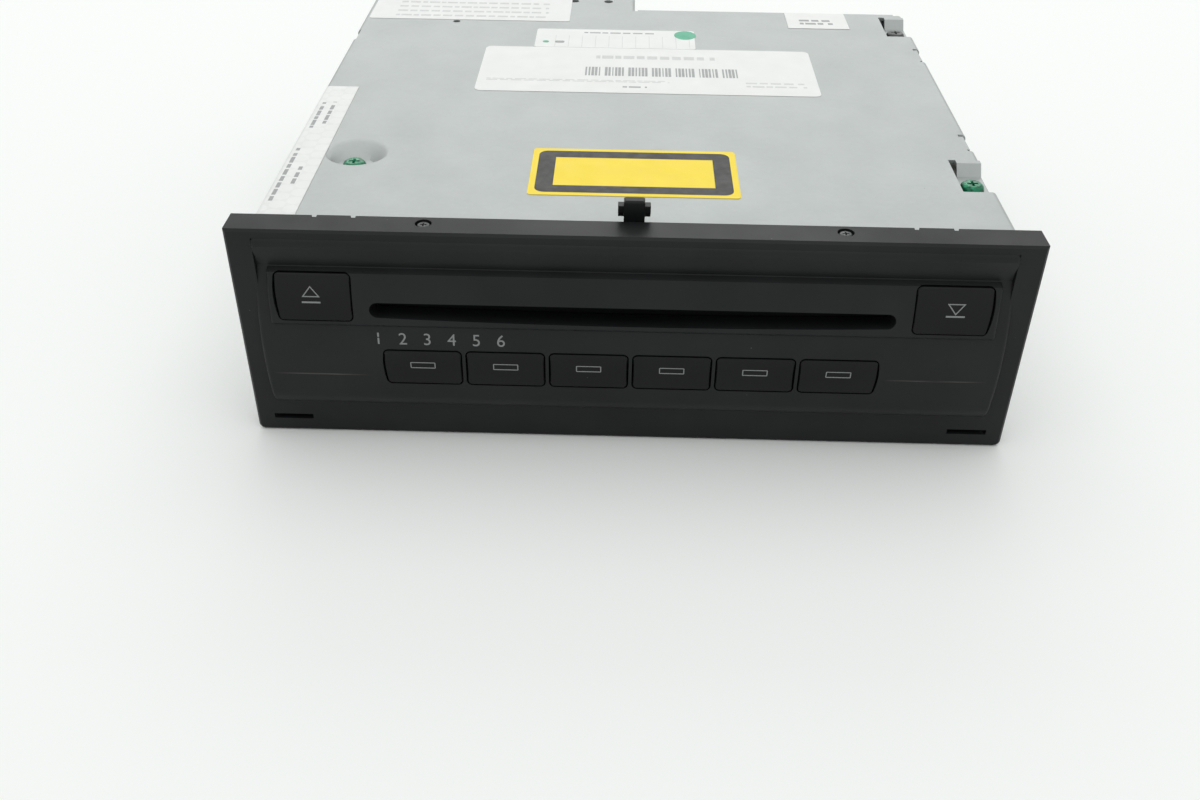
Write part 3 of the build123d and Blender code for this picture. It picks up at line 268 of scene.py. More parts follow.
def moulded_plastic(name, colour, roughness, gloss=0.25, dust=0.05, scratches=()):
    """Moulded plastic with a fine grain, handling marks, dust and a few light scratches."""
    material, tree, shader = finish(name, IOR=1.46, Specular_IOR_Level=gloss)
    handled = remap(tree, noise(tree, 16 * mm, 4), 0.35, 0.65)
    base = blend_colour(tree, handled, shade(colour, 0.86), shade(colour, 1.16))
    fine_dust = specks(tree, 2.6 * mm, 0.11 * mm, dust, 0.13)
    base = blend_colour(tree, maths(tree, "MULTIPLY", fine_dust, 0.5), base, (0.35, 0.35, 0.34))
    coarse_dust = specks(tree, 9 * mm, 0.22 * mm, dust, 0.31)
    base = blend_colour(tree, maths(tree, "MULTIPLY", coarse_dust, 0.6), base, (0.42, 0.42, 0.40))
    for low, high, strength in scratches:
        broken = noise(tree, 3 * mm, 3, place(tree, scale=(0.2, 1, 6)))
        mask = line_mask(tree, low, high, (4 * mm, 1, 0.12 * mm))
        mask = maths(tree, "MULTIPLY", mask, remap(tree, broken, 0.38, 0.58, 0, strength))
        base = blend_colour(tree, mask, base, (0.26, 0.24, 0.22))
    rough = clouds(tree, 22 * mm, 3, roughness - 0.06, roughness + 0.06)
    dress(tree, shader, base, rough, noise(tree, 0.35 * mm, 2), 0.012 * mm)
    return material


def zinc_sheet(name, colour):
    """Zinc-coated steel: a soft spangle, clouds left by handling, faint marks and a few specks."""
    material, tree, shader = finish(name, Metallic=0.55, IOR=1.5)
    base = blend_colour(tree, clouds(tree, 45 * mm, 3, 0, 1), shade(colour, 0.98), shade(colour, 1.02))
    cells = node(tree, "TexVoronoi", {"Vector": place(tree), "Scale": 1 / (1.3 * mm)})
    spangle = node(tree, "SeparateColor", {0: cells.outputs["Color"]}).outputs[0]
    base = blend_colour(tree, maths(tree, "MULTIPLY", spangle, 0.10), base, shade(colour, 0.72))
    streaks = noise(tree, 6 * mm, 4, place(tree, scale=(0.35, 3.0, 1)))
    base = blend_colour(tree, remap(tree, streaks, 0.55, 0.75, 0, 0.05), base, shade(colour, 0.7))
    stains = maths(tree, "MULTIPLY", remap(tree, noise(tree, 9 * mm, 5), 0.62, 0.74), 0.07)
    base = blend_colour(tree, stains, base, (0.40, 0.42, 0.37))
    dirt = maths(tree, "MULTIPLY", specks(tree, 7 * mm, 0.2 * mm, 0.35, 0.21), 0.55)
    base = blend_colour(tree, dirt, base, (0.12, 0.12, 0.12))
    rough = clouds(tree, 12 * mm, 4, 0.45, 0.51)
    dress(tree, shader, base, rough, noise(tree, 0.7 * mm, 3), 0.006 * mm)
    return material


def plain_metal(name, colour, roughness, streak=(1, 1, 1), metallic=1.0):
    """Bare or plated steel with drawn or turned streaks."""
    material, tree, shader = finish(name, Metallic=metallic)
    grain = noise(tree, 0.9 * mm, 4, place(tree, scale=streak))
    base = blend_colour(tree, remap(tree, grain, 0.3, 0.7), shade(colour, 0.82), shade(colour, 1.12))
    rough = clouds(tree, 4 * mm, 3, roughness - 0.08, roughness + 0.10)
    dress(tree, shader, base, rough, grain, 0.004 * mm)
    return material


def honeycomb(tree, spacing):
    """One on the lines of a honeycomb, from three waves that cross at 120 degrees.

    X and Z are added, so the pattern runs over a fold along Y and down the wall below it."""
    source = node(tree, "SeparateXYZ", {0: node(tree, "TexCoord").outputs["Object"]})
    over = maths(tree, "ADD", source.outputs[0], source.outputs[2])
    total = None
    for n in range(3):
        angle = n * tau / 3
        across = maths(tree, "MULTIPLY", over, cos(angle) * 1.1547 * tau / spacing)
        along = maths(tree, "MULTIPLY", source.outputs[1], sin(angle) * 1.1547 * tau / spacing)
        wave = maths(tree, "COSINE", maths(tree, "ADD", across, along))
        total = wave if total is None else maths(tree, "ADD", total, wave)
    return remap(tree, total, -0.80, -1.05)


def paper(name, colour, gloss=0.38, pattern=0.0, shine=0.4):
    """Label stock with a little tone of its own and, on seal labels, a pale honeycomb."""
    material, tree, shader = finish(name, IOR=1.45, Specular_IOR_Level=shine)
    base = blend_colour(tree, clouds(tree, 7 * mm, 4, 0, 1), shade(colour, 0.965), colour)
    if pattern:
        lines = maths(tree, "MULTIPLY", honeycomb(tree, 4.4 * mm), pattern)
        base = blend_colour(tree, lines, base, shade(colour, 0.80))
    dirt = maths(tree, "MULTIPLY", specks(tree, 6 * mm, 0.13 * mm, 0.2, 0.4), 0.3)
    base = blend_colour(tree, dirt, base, (0.25, 0.25, 0.25))
    rough = clouds(tree, 5 * mm, 3, gloss - 0.05, gloss + 0.08)
    dress(tree, shader, base, rough, noise(tree, 2.2 * mm, 2), 0.01 * mm)
    return material


def ink(name, colour, roughness=0.5, worn=0.25):
    """Printing ink, thin in places so that it looks a little worn."""
    material, tree, shader = finish(name)
    wear = remap(tree, noise(tree, 0.8 * mm, 4), 0.45, 0.75, 0, worn)
    base = blend_colour(tree, wear, colour, shade(colour, 0.55))
    dress(tree, shader, base, clouds(tree, 2 * mm, 2, roughness - 0.05, roughness + 0.1))
    return material


def screw_paint(name, colour):
    """Green lacquer on a screw's head, darker in some places and lighter and glossier in others."""
    material, tree, shader = finish(name, Metallic=0.25, Specular_IOR_Level=0.35)
    thick = remap(tree, noise(tree, 1.1 * mm, 3), 0.35, 0.62)
    base = blend_colour(tree, thick, shade(colour, 0.35), shade(colour, 1.3))
    rough = remap(tree, thick, 0, 1, 0.34, 0.2)
    dress(tree, shader, base, rough, noise(tree, 0.9 * mm, 2), 0.12 * mm)
    return material


def circuit_board(name):
    """Green lacquered board with traces under the lacquer."""
    material, tree, shader = finish(name, Coat_Weight=0.4)
    cells = node(tree, "TexVoronoi", {"Vector": place(tree), "Scale": 1 / (2.2 * mm)},
                 distance="CHEBYCHEV", feature="DISTANCE_TO_EDGE")
    traces = remap(tree, cells.outputs["Distance"], 0.10, 0.05)
    base = blend_colour(tree, traces, (0.010, 0.085, 0.035), (0.030, 0.17, 0.07))
    dress(tree, shader, base, clouds(tree, 3 * mm, 2, 0.28, 0.42), traces, 0.02 * mm)
    return material


def dull_rubber(name, colour):
    """Soft rubber with a dusty bloom."""
    material, tree, shader = finish(name, Specular_IOR_Level=0.3)
    bloom = remap(tree, noise(tree, 3 * mm, 4), 0.35, 0.7)
    base = blend_colour(tree, bloom, colour, shade(colour, 2.2))
    rough = remap(tree, bloom, 0, 1, 0.66, 0.85)
    dress(tree, shader, base, rough, noise(tree, 0.5 * mm, 2), 0.02 * mm)
    return material


def clear_lens(name):
    """The pickup's coated lens."""
    material, tree, shader = finish(name, Transmission_Weight=0.7, IOR=1.52)
    tint = node(tree, "LayerWeight", {"Blend": 0.4}).outputs["Facing"]
    base = blend_colour(tree, tint, (0.20, 0.12, 0.42), (0.5, 0.6, 0.75))
    dress(tree, shader, base, clouds(tree, 2 * mm, 2, 0.03, 0.08))
    return material


def coat(name, material):
    """Give a CAD node its finish."""
    for slot in frame["nodes"][name].material_slots:
        slot.material = material


# ---------------------------------------------------------------- modelling
def new_piece(name, shape, material, body, smooth=None):
    """Turn a bmesh into a piece that rides a body. Edges sharper than the angle smooth stay sharp."""
    mesh = bpy.data.meshes.new(name)
    shape.to_mesh(mesh)
    shape.free()
    piece = bpy.data.objects.new(name, mesh)
    bpy.context.scene.collection.objects.link(piece)
    mesh.materials.append(material)
    if smooth is not None:
        mesh.shade_smooth()
        mesh.set_sharp_from_angle(angle=smooth)
    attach(piece, body)
    return piece


def body_of(name):
    """The body that a CAD node rides on."""
    return frame["nodes"][name]["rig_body"]


def refined(name, material, rounding):
    """A copy of a CAD node, joined up, with its sharp edges rounded and its curves smooth."""
    shape = bmesh.new()
    shape.from_mesh(frame["nodes"][name].data)
    bmesh.ops.remove_doubles(shape, verts=shape.verts, dist=0.002 * mm)
    bmesh.ops.dissolve_limit(shape, angle_limit=radians(0.4), verts=shape.verts, edges=shape.edges)
    bmesh.ops.triangulate(shape, faces=[f for f in shape.faces if len(f.verts) > 4])
    piece = new_piece(name + "_body", shape, material, body_of(name), sharp_angle)
    edge = piece.modifiers.new("Rounded edges", "BEVEL")
    edge.width = rounding
    edge.segments = 2
    edge.limit_method = "ANGLE"
    edge.angle_limit = sharp_angle
    edge.use_clamp_overlap = True
    level_shading(piece)
    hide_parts(name)


def level_shading(piece):
    """Keep broad flat faces evenly lit beside small rounded ones."""
    level = piece.modifiers.new("Level shading", "WEIGHTED_NORMAL")
    level.keep_sharp = True
    level.weight = 100


def rounded_sheet(width, height, corner):
    """A flat sheet about the origin with rounded corners."""
    shape = bmesh.new()
    bmesh.ops.create_grid(shape, x_segments=1, y_segments=1, size=0.5)
    bmesh.ops.scale(shape, vec=(width, height, 1), verts=shape.verts)
    if corner:
        bmesh.ops.bevel(shape, geom=shape.verts[:], offset=corner, offset_type="OFFSET", segments=6,
                        profile=0.5, affect="VERTICES", material=-1)
    return shape


def pour(part, shape):
    """Move a finished part into a shape."""
    scrap = bpy.data.meshes.new("scrap")
    part.to_mesh(scrap)
    part.free()
    shape.from_mesh(scrap)
    bpy.data.meshes.remove(scrap)


def add_sheet(shape, width, height, corner, middle):
    """Add a flat rounded rectangle about a point to a shape."""
    part = rounded_sheet(width, height, corner)
    bmesh.ops.translate(part, vec=middle, verts=part.verts)
    pour(part, shape)


def open_middle(part, line):
    """Leave only a line of a width along a flat part's edge."""
    bmesh.ops.inset_region(part, faces=part.faces[:], thickness=line, use_even_offset=True,
                           use_boundary=True)
    inner = min(part.faces, key=lambda f: max(v.co.length for v in f.verts))
    bmesh.ops.delete(part, geom=[inner], context="FACES")


def add_outline(shape, width, height, corner, line):
    """Add the outline of a rounded rectangle about the origin to a shape."""
    part = rounded_sheet(width, height, corner)
    open_middle(part, line)
    pour(part, shape)


def add_triangle(shape, width, height, line, middle, point):
    """Add the outline of a triangle that points up the sheet for 1 and down it for -1."""
    part = bmesh.new()
    bmesh.ops.create_circle(part, cap_ends=True, radius=1, segments=3)
    bmesh.ops.scale(part, vec=(width / 3 ** 0.5, point * height / 1.5, 1), verts=part.verts)
    bmesh.ops.recalc_face_normals(part, faces=part.faces)
    open_middle(part, line)
    bmesh.ops.translate(part, vec=middle, verts=part.verts)
    pour(part, shape)


def face_up(shape):
    """Turn every face of a flat shape to +Z."""
    for face in shape.faces:
        face.normal_update()
        if face.normal.z < 0:
            face.normal_flip()


def thicken(shape, thickness):
    """Give a flat, upward sheet its thickness, with the sheet itself as the lower face."""
    face_up(shape)
    lower = shape.faces[:]
    top = bmesh.ops.extrude_face_region(shape, geom=lower, use_keep_orig=True)
    lifted = [v for v in top["geom"] if isinstance(v, bmesh.types.BMVert)]
    bmesh.ops.translate(shape, vec=(0, 0, thickness), verts=lifted)
    bmesh.ops.reverse_faces(shape, faces=lower)


def lay_on_front(shape, name):
    """Carry each point of a print along +Y on to the face of the CAD node behind it."""
    face = bmesh.new()
    face.from_mesh(frame["nodes"][name].data)
    tree = BVHTree.FromBMesh(face)
    face.free()
    for vert in shape.verts:
        start = Vector((vert.co.x, front_plane - 20 * mm, vert.co.z))
        hit = tree.ray_cast(start, Vector((0, 1, 0)))[0]
        if hit is None:
            raise RuntimeError("a print misses the front")
        vert.co = hit + Vector((0, vert.co.y, 0))


# ---------------------------------------------------------------- operators: finishes
class CHANGER_OT_front(Operator):
    """Finish the moulded front, its keys, its shutter and its catch"""
    bl_idname = "changer.front"
    bl_label = "Front and keys"

    def execute(self, context):
        look = context.scene.changer_finish
        left_scratch = ((-83 * mm, None, 19.3 * mm), (-66 * mm, None, 19.6 * mm), 0.22)
        right_scratch = ((65 * mm, None, 21.2 * mm), (82 * mm, None, 21.5 * mm), 0.30)
        plastic = moulded_plastic("fascia plastic", look.fascia_colour, look.plastic_roughness,
                                  scratches=(left_scratch, right_scratch))
        coat("fascia", plastic)
        self.tongues(plastic)
        caps = moulded_plastic("key plastic", look.key_colour, 0.34, 0.22, dust=0.03)
        for name in (*key_nodes, "eject_button", "load_button"):
            refined(name, caps, 0.08 * mm)
        catch = moulded_plastic("catch plastic", look.key_colour, 0.36, 0.2, dust=0.02)
        refined("retaining_catch", catch, 0.12 * mm)
        coat("slot_shutter", caps)
        return {"FINISHED"}

    def tongues(self, material):
        """The tops of the two snap tongues in the rim's rear edge, level with the rim."""
        size = Vector((7.9 * mm, 1.0 * mm, 0.45 * mm))
        across, along = 69.9 * mm, front_plane + 7.6 * mm
        shape = bmesh.new()
        for x in (-across, across):
            block = bmesh.ops.create_cube(shape, size=1)["verts"]
            bmesh.ops.scale(shape, vec=size, verts=block)
            bmesh.ops.translate(shape, vec=(x, along, rim_top - size.z / 2), verts=block)
        new_piece("snap_tongues", shape, material, body_of("fascia"))


class CHANGER_OT_case(Operator):
    """Finish the lid, the case and the connector box"""
    bl_idname = "changer.case"
    bl_label = "Sheet-metal case"

    def execute(self, context):
        look = context.scene.changer_finish
        zinc = zinc_sheet("zinc sheet", look.sheet_colour)
        for name in ("top_cover", "lower_chassis", "rear_connector_box"):
            refined(name, zinc, 0.1 * mm)
        black = moulded_plastic("connector plastic", (0.014, 0.014, 0.015), 0.5)
        refined("rear_connector", black, 0.08 * mm)
        return {"FINISHED"}


class CHANGER_OT_mechanism(Operator):
    """Finish the boards and the mechanism inside"""
    bl_idname = "changer.mechanism"
    bl_label = "Mechanism"

    def execute(self, context):
        bright = plain_metal("mechanism sheet", (0.62, 0.62, 0.60), 0.32, (1, 4, 1))
        can = plain_metal("motor can", (0.50, 0.51, 0.52), 0.28, (6, 1, 1))
        shaft = plain_metal("ground steel", (0.66, 0.66, 0.66), 0.18, (1, 12, 12))
        screw = plain_metal("zinc screw", (0.48, 0.47, 0.42), 0.30)
        dark_screw = plain_metal("black screw", (0.035, 0.035, 0.036), 0.38, metallic=0.6)
        rubber = dull_rubber("rubber", (0.016, 0.016, 0.017))
        white = moulded_plastic("gear plastic", (0.68, 0.67, 0.62), 0.34, dust=0)
        tray = moulded_plastic("tray plastic", (0.020, 0.020, 0.022), 0.45)
        part = moulded_plastic("component plastic", (0.013, 0.013, 0.014), 0.42)
        lamp = moulded_plastic("lamp housing", (0.75, 0.75, 0.70), 0.3, dust=0)
        lead = moulded_plastic("flat lead", (0.60, 0.60, 0.57), 0.35, dust=0)
        by_slot = {"mech_steel": bright, "motor_steel": can, "shaft_steel": shaft, "screw_steel": screw,
                   "black_screw": dark_screw, "rubber_black": rubber, "gear_white": white,
                   "tray_black": tray, "component_black": part, "led_white": lamp,
                   "flat_cable": lead, "pcb": circuit_board("board"), "lens_glass": clear_lens("lens")}
        for sub in frame["record"]["subparts"]:
            if sub["material_slot"] in by_slot:
                coat(sub["node"], by_slot[sub["material_slot"]])
        return {"FINISHED"}


# ---------------------------------------------------------------- operators: prints and labels
class CHANGER_OT_key_prints(Operator):
    """Print the marks on the keys and the numbers over the row"""
    bl_idname = "changer.key_prints"
    bl_label = "Key prints"

    def execute(self, context):
        white = ink("front print", context.scene.changer_finish.print_colour)
        for name in key_nodes:
            low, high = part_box(name)
            shape = bmesh.new()
            add_outline(shape, 6.1 * mm, 1.75 * mm, 0.25 * mm, 0.24 * mm)
            self.stand(shape, (low.x + high.x) / 2, 22.5 * mm, name, white)
        side_key_x = 75.4 * mm
        for name, x, point in (("eject_button", -side_key_x, 1), ("load_button", side_key_x, -1)):
            shape = bmesh.new()
            add_triangle(shape, 4.3 * mm, 2.8 * mm, 0.26 * mm, (0, 0.7 * mm, 0), point)
            add_sheet(shape, 4.4 * mm, 0.4 * mm, 0, (0, -1.5 * mm, 0))
            self.stand(shape, x, 40.6 * mm, name, white)
        self.numbers(white)
        return {"FINISHED"}

    def numbers(self, material):
        """Plain numbers over the row of keys, as many as there are keys."""
        text = bpy.data.curves.new("numbers", "FONT")
        text.body = "   ".join(str(n + 1) for n in range(len(key_nodes)))
        text.size = 4.4 * mm
        text.align_x = "CENTER"
        holder = bpy.data.objects.new("numbers", text)
        bpy.context.scene.collection.objects.link(holder)
        bpy.context.view_layer.update()
        flat = holder.evaluated_get(bpy.context.evaluated_depsgraph_get()).to_mesh()
        shape = bmesh.new()
        shape.from_mesh(flat)
        holder.to_mesh_clear()
        bpy.data.objects.remove(holder)
        bpy.data.curves.remove(text)
        self.stand(shape, -45.7 * mm, 28.3 * mm, "fascia", material)

    def stand(self, shape, x, z, name, material):
        """Stand a flat print up, bring it to its place and lay it on the front of a CAD node."""
        thicken(shape, bpy.context.scene.changer_label.ink_thickness)
        bmesh.ops.rotate(shape, cent=(0, 0, 0), matrix=Matrix.Rotation(radians(90), 3, "X"),
                         verts=shape.verts)
        bmesh.ops.translate(shape, vec=(x, 0, z), verts=shape.verts)
        lay_on_front(shape, name)
        new_piece("print_" + name, shape, material, body_of(name))


class CHANGER_OT_labels(Operator):
    """Lay the labels on the lid and the connector box"""
    bl_idname = "changer.labels"
    bl_label = "Labels"

    def execute(self, context):
        look = context.scene.changer_finish
        sizes = context.scene.changer_label
        white, yellow = tuple(look.paper_colour), tuple(look.yellow_colour)
        stock = paper("label paper", white)
        seal = paper("seal paper", white, pattern=0.22)
        bright = paper("yellow label stock", yellow, 0.4, shine=0.2)
        grey = ink("label print", (0.33, 0.34, 0.34))
        faint = ink("faint label print", (0.60, 0.61, 0.60))
        dark = ink("dark label print", (0.030, 0.029, 0.028), 0.55, 0.1)
        paint = ink("green spot", (0.08, 0.42, 0.26))
        self.thin = sizes.ink_thickness
        self.thick = sizes.paper_thickness

        self.flat("yellow_label", bright, across=(-26.3, 26.2), along=(25.0, 52.2), corner=1.0)
        border = bmesh.new()
        self.window(border, 49.3 * mm, 24.2 * mm, 2.4 * mm, 40.4 * mm, 16.4 * mm)
        self.printed("yellow_label_frame", border, (-0.05, 38.6), dark)

        self.flat("main_label", stock, across=(-46.7, 54.0), along=(91.7, 128.7), corner=2.0)
        self.main_prints(sizes.bar_count, grey, faint)
        self.flat("cell_label", stock, across=(-31.8, 19.0), along=(128.9, 145.8), corner=1.0)
        self.cell_prints(faint, grey, paint)
        self.flat("rear_label", stock, across=(-88.4, -21.8), along=(153.3, 178.5), corner=1.0)
        self.rows("rear_label_print", faint, across=(-80, -30), along=(157, 161.5, 166, 170.5),
                  height=1.4)
        self.corner_label("corner_label", stock)
        self.rows("corner_label_print", grey, across=(54.5, 64.5), along=(155.5, 158.5), height=1.6)
        self.seal_label("seal_label", seal)
        self.seal_prints("seal_label_print", grey)
        return {"FINISHED"}

    def flat(self, name, material, across, along, corner):
        """A flat label between two places across and along the lid, in millimetres."""
        shape = rounded_sheet((across[1] - across[0]) * mm, (along[1] - along[0]) * mm, corner * mm)
        thicken(shape, self.thick)
        middle = at(sum(across) / 2, sum(along) / 2)
        bmesh.ops.translate(shape, vec=(middle.x, middle.y, lid_top), verts=shape.verts)
        new_piece(name, shape, material, body_of("top_cover"))

    def printed(self, name, shape, middle, material):
        """A print drawn flat about the origin, laid on the label at a place in millimetres."""
        thicken(shape, self.thin)
        spot = at(*middle)
        bmesh.ops.translate(shape, vec=(spot.x, spot.y, lid_top + self.thick), verts=shape.verts)
        new_piece(name, shape, material, body_of("top_cover"))

    def window(self, shape, width, height, corner, inner_width, inner_height):
        """A rounded band with a square-cornered window."""
        add_sheet(shape, width, height, corner, (0, 0, 0))
        inner = bmesh.ops.create_grid(shape, x_segments=1, y_segments=1, size=0.5)
        bmesh.ops.scale(shape, vec=(inner_width, inner_height, 1), verts=inner["verts"])
        bmesh.ops.delete(shape, geom=shape.faces[:], context="FACES_ONLY")
        bmesh.ops.triangle_fill(shape, edges=shape.edges[:], use_beauty=True)
        middles = {face: face.calc_center_median() for face in shape.faces}
        hole = [face for face, middle in middles.items()
                if abs(middle.x) < inner_width / 2 and abs(middle.y) < inner_height / 2]
        bmesh.ops.delete(shape, geom=hole, context="FACES")

    def dashes(self, shape, start, end, y, height, seed):
        """A row of short strokes of uneven length."""
        x, n = start, seed
        while x < end:
            wide = (1.3 + 2.2 * abs(sin(n * 1.7))) * mm
            gap = (0.5 + 0.4 * abs(sin(n * 2.9))) * mm
            add_sheet(shape, min(wide, end - x), height, 0, (x + wide / 2, y, 0))
            x += wide + gap
            n += 1

    def rows(self, name, material, across, along, height):
        """Rows of strokes between two places across the lid, at places along it, in millimetres."""
        shape = bmesh.new()
        middle = sum(across) / 2, sum(along) / len(along)
        for n, y in enumerate(along):
            self.dashes(shape, (across[0] - middle[0]) * mm, (across[1] - middle[0]) * mm,
                        (y - middle[1]) * mm, height * mm, 3 * n)
        self.printed(name, shape, middle, material)

    def main_prints(self, bars, material, faint):
        """A field of bars and rows of small strokes on the main label."""
        shape = bmesh.new()
        start, end, height = -23.1 * mm, 23.1 * mm, 7.0 * mm
        step = (end - start) / bars
        for n in range(bars):
            if n % 7 == 5:
                continue
            wide = step * (0.30 + 0.5 * abs(sin(n * 2.3 + 0.4)))
            add_sheet(shape, wide, height, 0, (start + (n + 0.5) * step, 0, 0))
        self.printed("main_label_bars", shape, (7.9, 108.5), material)
        self.rows("main_label_small_rows", faint, across=(-44, 9), along=(101.2, 100.2), height=0.5)
        self.rows("main_label_note", material, across=(-3.6, 2.9), along=(96.3,), height=1.0)
        self.rows("main_label_side_rows", faint, across=(32.7, 49.5), along=(98.4, 101.0), height=1.0)
        self.rows("main_label_upper_row", faint, across=(-12, 23.6), along=(120.6,), height=2.6)

    def cell_prints(self, faint, material, paint):
        """A table of cells, two ticks and a round green spot on the small label."""
        shape = bmesh.new()
        line, low, high = 0.15 * mm, -8.0 * mm, 2.4 * mm
        cells, start, end = 10, -19.0 * mm, 23.6 * mm
        for n in range(cells + 1):
            x = start + (end - start) * n / cells
            add_sheet(shape, line, high - low, 0, (x, (low + high) / 2, 0))
        self.printed("cell_label_lines", shape, (-6.4, 137.3), faint)
        self.rows("cell_label_print", material, across=(-16.5, 6), along=(142.6,), height=0.9)
        shape = bmesh.new()
        bmesh.ops.create_circle(shape, cap_ends=True, radius=3.5 * mm, segments=40)
        bmesh.ops.scale(shape, vec=(1, 1.15, 1), verts=shape.verts)
        self.printed("green_spot", shape, (16.0, 141.6), paint)
        for name, width, x, tint in (("green_tick", 1.9, -28.4, paint),
                                     ("grey_tick", 3.0, -24.0, material)):
            shape = bmesh.new()
            add_sheet(shape, width * mm, 1.9 * mm, 0.7 * mm, (0, 0, 0))
            self.printed(name, shape, (x, 133.6), tint)

    def corner_label(self, name, material):
        """A label over the lid's rear edge."""
        across, fold = (50.3, 70.3), 0.45 * mm
        edge = lid_high.y
        length = edge - at(0, 150.8).y - fold
        shape = rounded_sheet((across[1] - across[0]) * mm, length, 0)
        middle = edge - fold - length / 2
        bmesh.ops.translate(shape, vec=(sum(across) / 2 * mm, middle, lid_top), verts=shape.verts)
        self.fold_down(shape, "y", edge - fold, fold, 7.0 * mm)
        self.skin(name, shape, material)

    def seal_label(self, name, material):
        """The long seal label on the left, folded over the case's side."""
        inner, fold = -80.2 * mm, 1.4 * mm
        low, high = at(0, 11.7).y, at(0, 92.5).y
        length = inner + side_x - fold
        shape = rounded_sheet(length, high - low, 0)
        bmesh.ops.translate(shape, vec=(inner - length / 2, (low + high) / 2, lid_top),
                            verts=shape.verts)
        self.fold_down(shape, "x", -side_x + fold, fold, 8.5 * mm)
        self.skin(name, shape, material)

    def seal_prints(self, name, material):
        """Two groups of strokes that run along the seal label."""
        shape = bmesh.new()
        middle = -87.0, 50.0
        lines = ((-87.6, 62.4, 79.2), (-84.7, 65.3, 79.4), (-87.8, 18.6, 48.1), (-84.6, 28.1, 37.3))
        for n, (x, start, end) in enumerate(lines):
            self.dashes(shape, (start - middle[1]) * mm, (end - middle[1]) * mm,
                        (middle[0] - x) * mm, 1.0 * mm, 2 * n)
        bmesh.ops.rotate(shape, cent=(0, 0, 0), matrix=Matrix.Rotation(radians(90), 3, "Z"),
                         verts=shape.verts)
        self.printed(name, shape, middle, material)

    def fold_down(self, shape, axis, line, radius, drop):
        """Carry a sheet's edge round a fold and down the wall below it."""
        number = "xyz".index(axis)
        edges = [e for e in shape.edges if all(abs(v.co[number] - line) < 1e-6 for v in e.verts)]
        verts = {v for e in edges for v in e.verts}
        centre = Vector((0, 0, lid_top - radius))
        centre[number] = line
        turn = Vector((0, -1, 0)) if axis == "x" else Vector((-1, 0, 0))
        last = bmesh.ops.spin(shape, geom=list(verts) + edges, cent=centre, axis=turn,
                              dvec=(0, 0, 0), angle=radians(90), steps=6, use_duplicate=False)
        last_edges = [g for g in last["geom_last"] if isinstance(g, bmesh.types.BMEdge)]
        hung = bmesh.ops.extrude_edge_only(shape, edges=last_edges)
        bmesh.ops.translate(shape, vec=(0, 0, -drop),
                            verts=[g for g in hung["geom"] if isinstance(g, bmesh.types.BMVert)])
        bmesh.ops.recalc_face_normals(shape, faces=shape.faces)
        top = max(shape.faces, key=lambda f: f.calc_area())
        if top.normal.z < 0:
            bmesh.ops.reverse_faces(shape, faces=shape.faces)

    def skin(self, name, shape, material):
        """Give a folded sheet its thickness outwards."""
        piece = new_piece(name, shape, material, body_of("top_cover"), radians(40))
        wall = piece.modifiers.new("Paper thickness", "SOLIDIFY")
        wall.thickness = self.thick
        wall.offset = 1
        level_shading(piece)


# ---------------------------------------------------------------- operators: screws
def cross_screw(shape, middle, head_r, top_r, height, arm, slot, depth):
    """Add a pan head with a cross recess, from its seat at middle up to its top."""
    part = bmesh.new()
    rim = bmesh.ops.create_circle(part, radius=top_r, segments=32)["verts"]
    cross = []
    for n in range(4):
        turn = Matrix.Rotation(n * pi / 2, 3, "Z")
        for corner in ((arm, -slot, 0), (arm, slot, 0), (slot, slot, 0)):
            cross.append(part.verts.new(turn @ Vector(corner)))
    sides = [part.edges.new((cross[n - 1], cross[n])) for n in range(len(cross))]
    bmesh.ops.triangle_fill(part, edges=part.edges[:], use_beauty=True)
    inside = [f for f in part.faces if all(v in cross for v in f.verts)]
    bmesh.ops.delete(part, geom=inside, context="FACES")
    floor = drop_ring(part, sides)
    bmesh.ops.translate(part, vec=(0, 0, -depth), verts=floor[0])
    bmesh.ops.scale(part, vec=(0.55, 0.55, 1), verts=floor[0])
    bmesh.ops.contextual_create(part, geom=floor[1])
    edges = [e for e in part.edges if all(v in rim for v in e.verts)]
    steps = 4
    for step in range(1, steps + 1):
        angle = step * pi / (2 * steps)
        verts, edges = drop_ring(part, edges)
        wide = top_r + (head_r - top_r) * sin(angle)
        for vert in verts:
            vert.co = Vector((vert.co.x, vert.co.y, 0)).normalized() * wide
            vert.co.z = -height * (1 - cos(angle))
    bmesh.ops.contextual_create(part, geom=edges)
    bmesh.ops.recalc_face_normals(part, faces=part.faces)
    bmesh.ops.translate(part, vec=Vector(middle) + Vector((0, 0, height)), verts=part.verts)
    pour(part, shape)


def drop_ring(part, edges):
    """Draw a ring of edges out into a wall and return the new ring's points and edges."""
    wall = bmesh.ops.extrude_edge_only(part, edges=edges)["geom"]
    verts = [g for g in wall if isinstance(g, bmesh.types.BMVert)]
    ring = [g for g in wall if isinstance(g, bmesh.types.BMEdge) and all(v in verts for v in g.verts)]
    return verts, ring


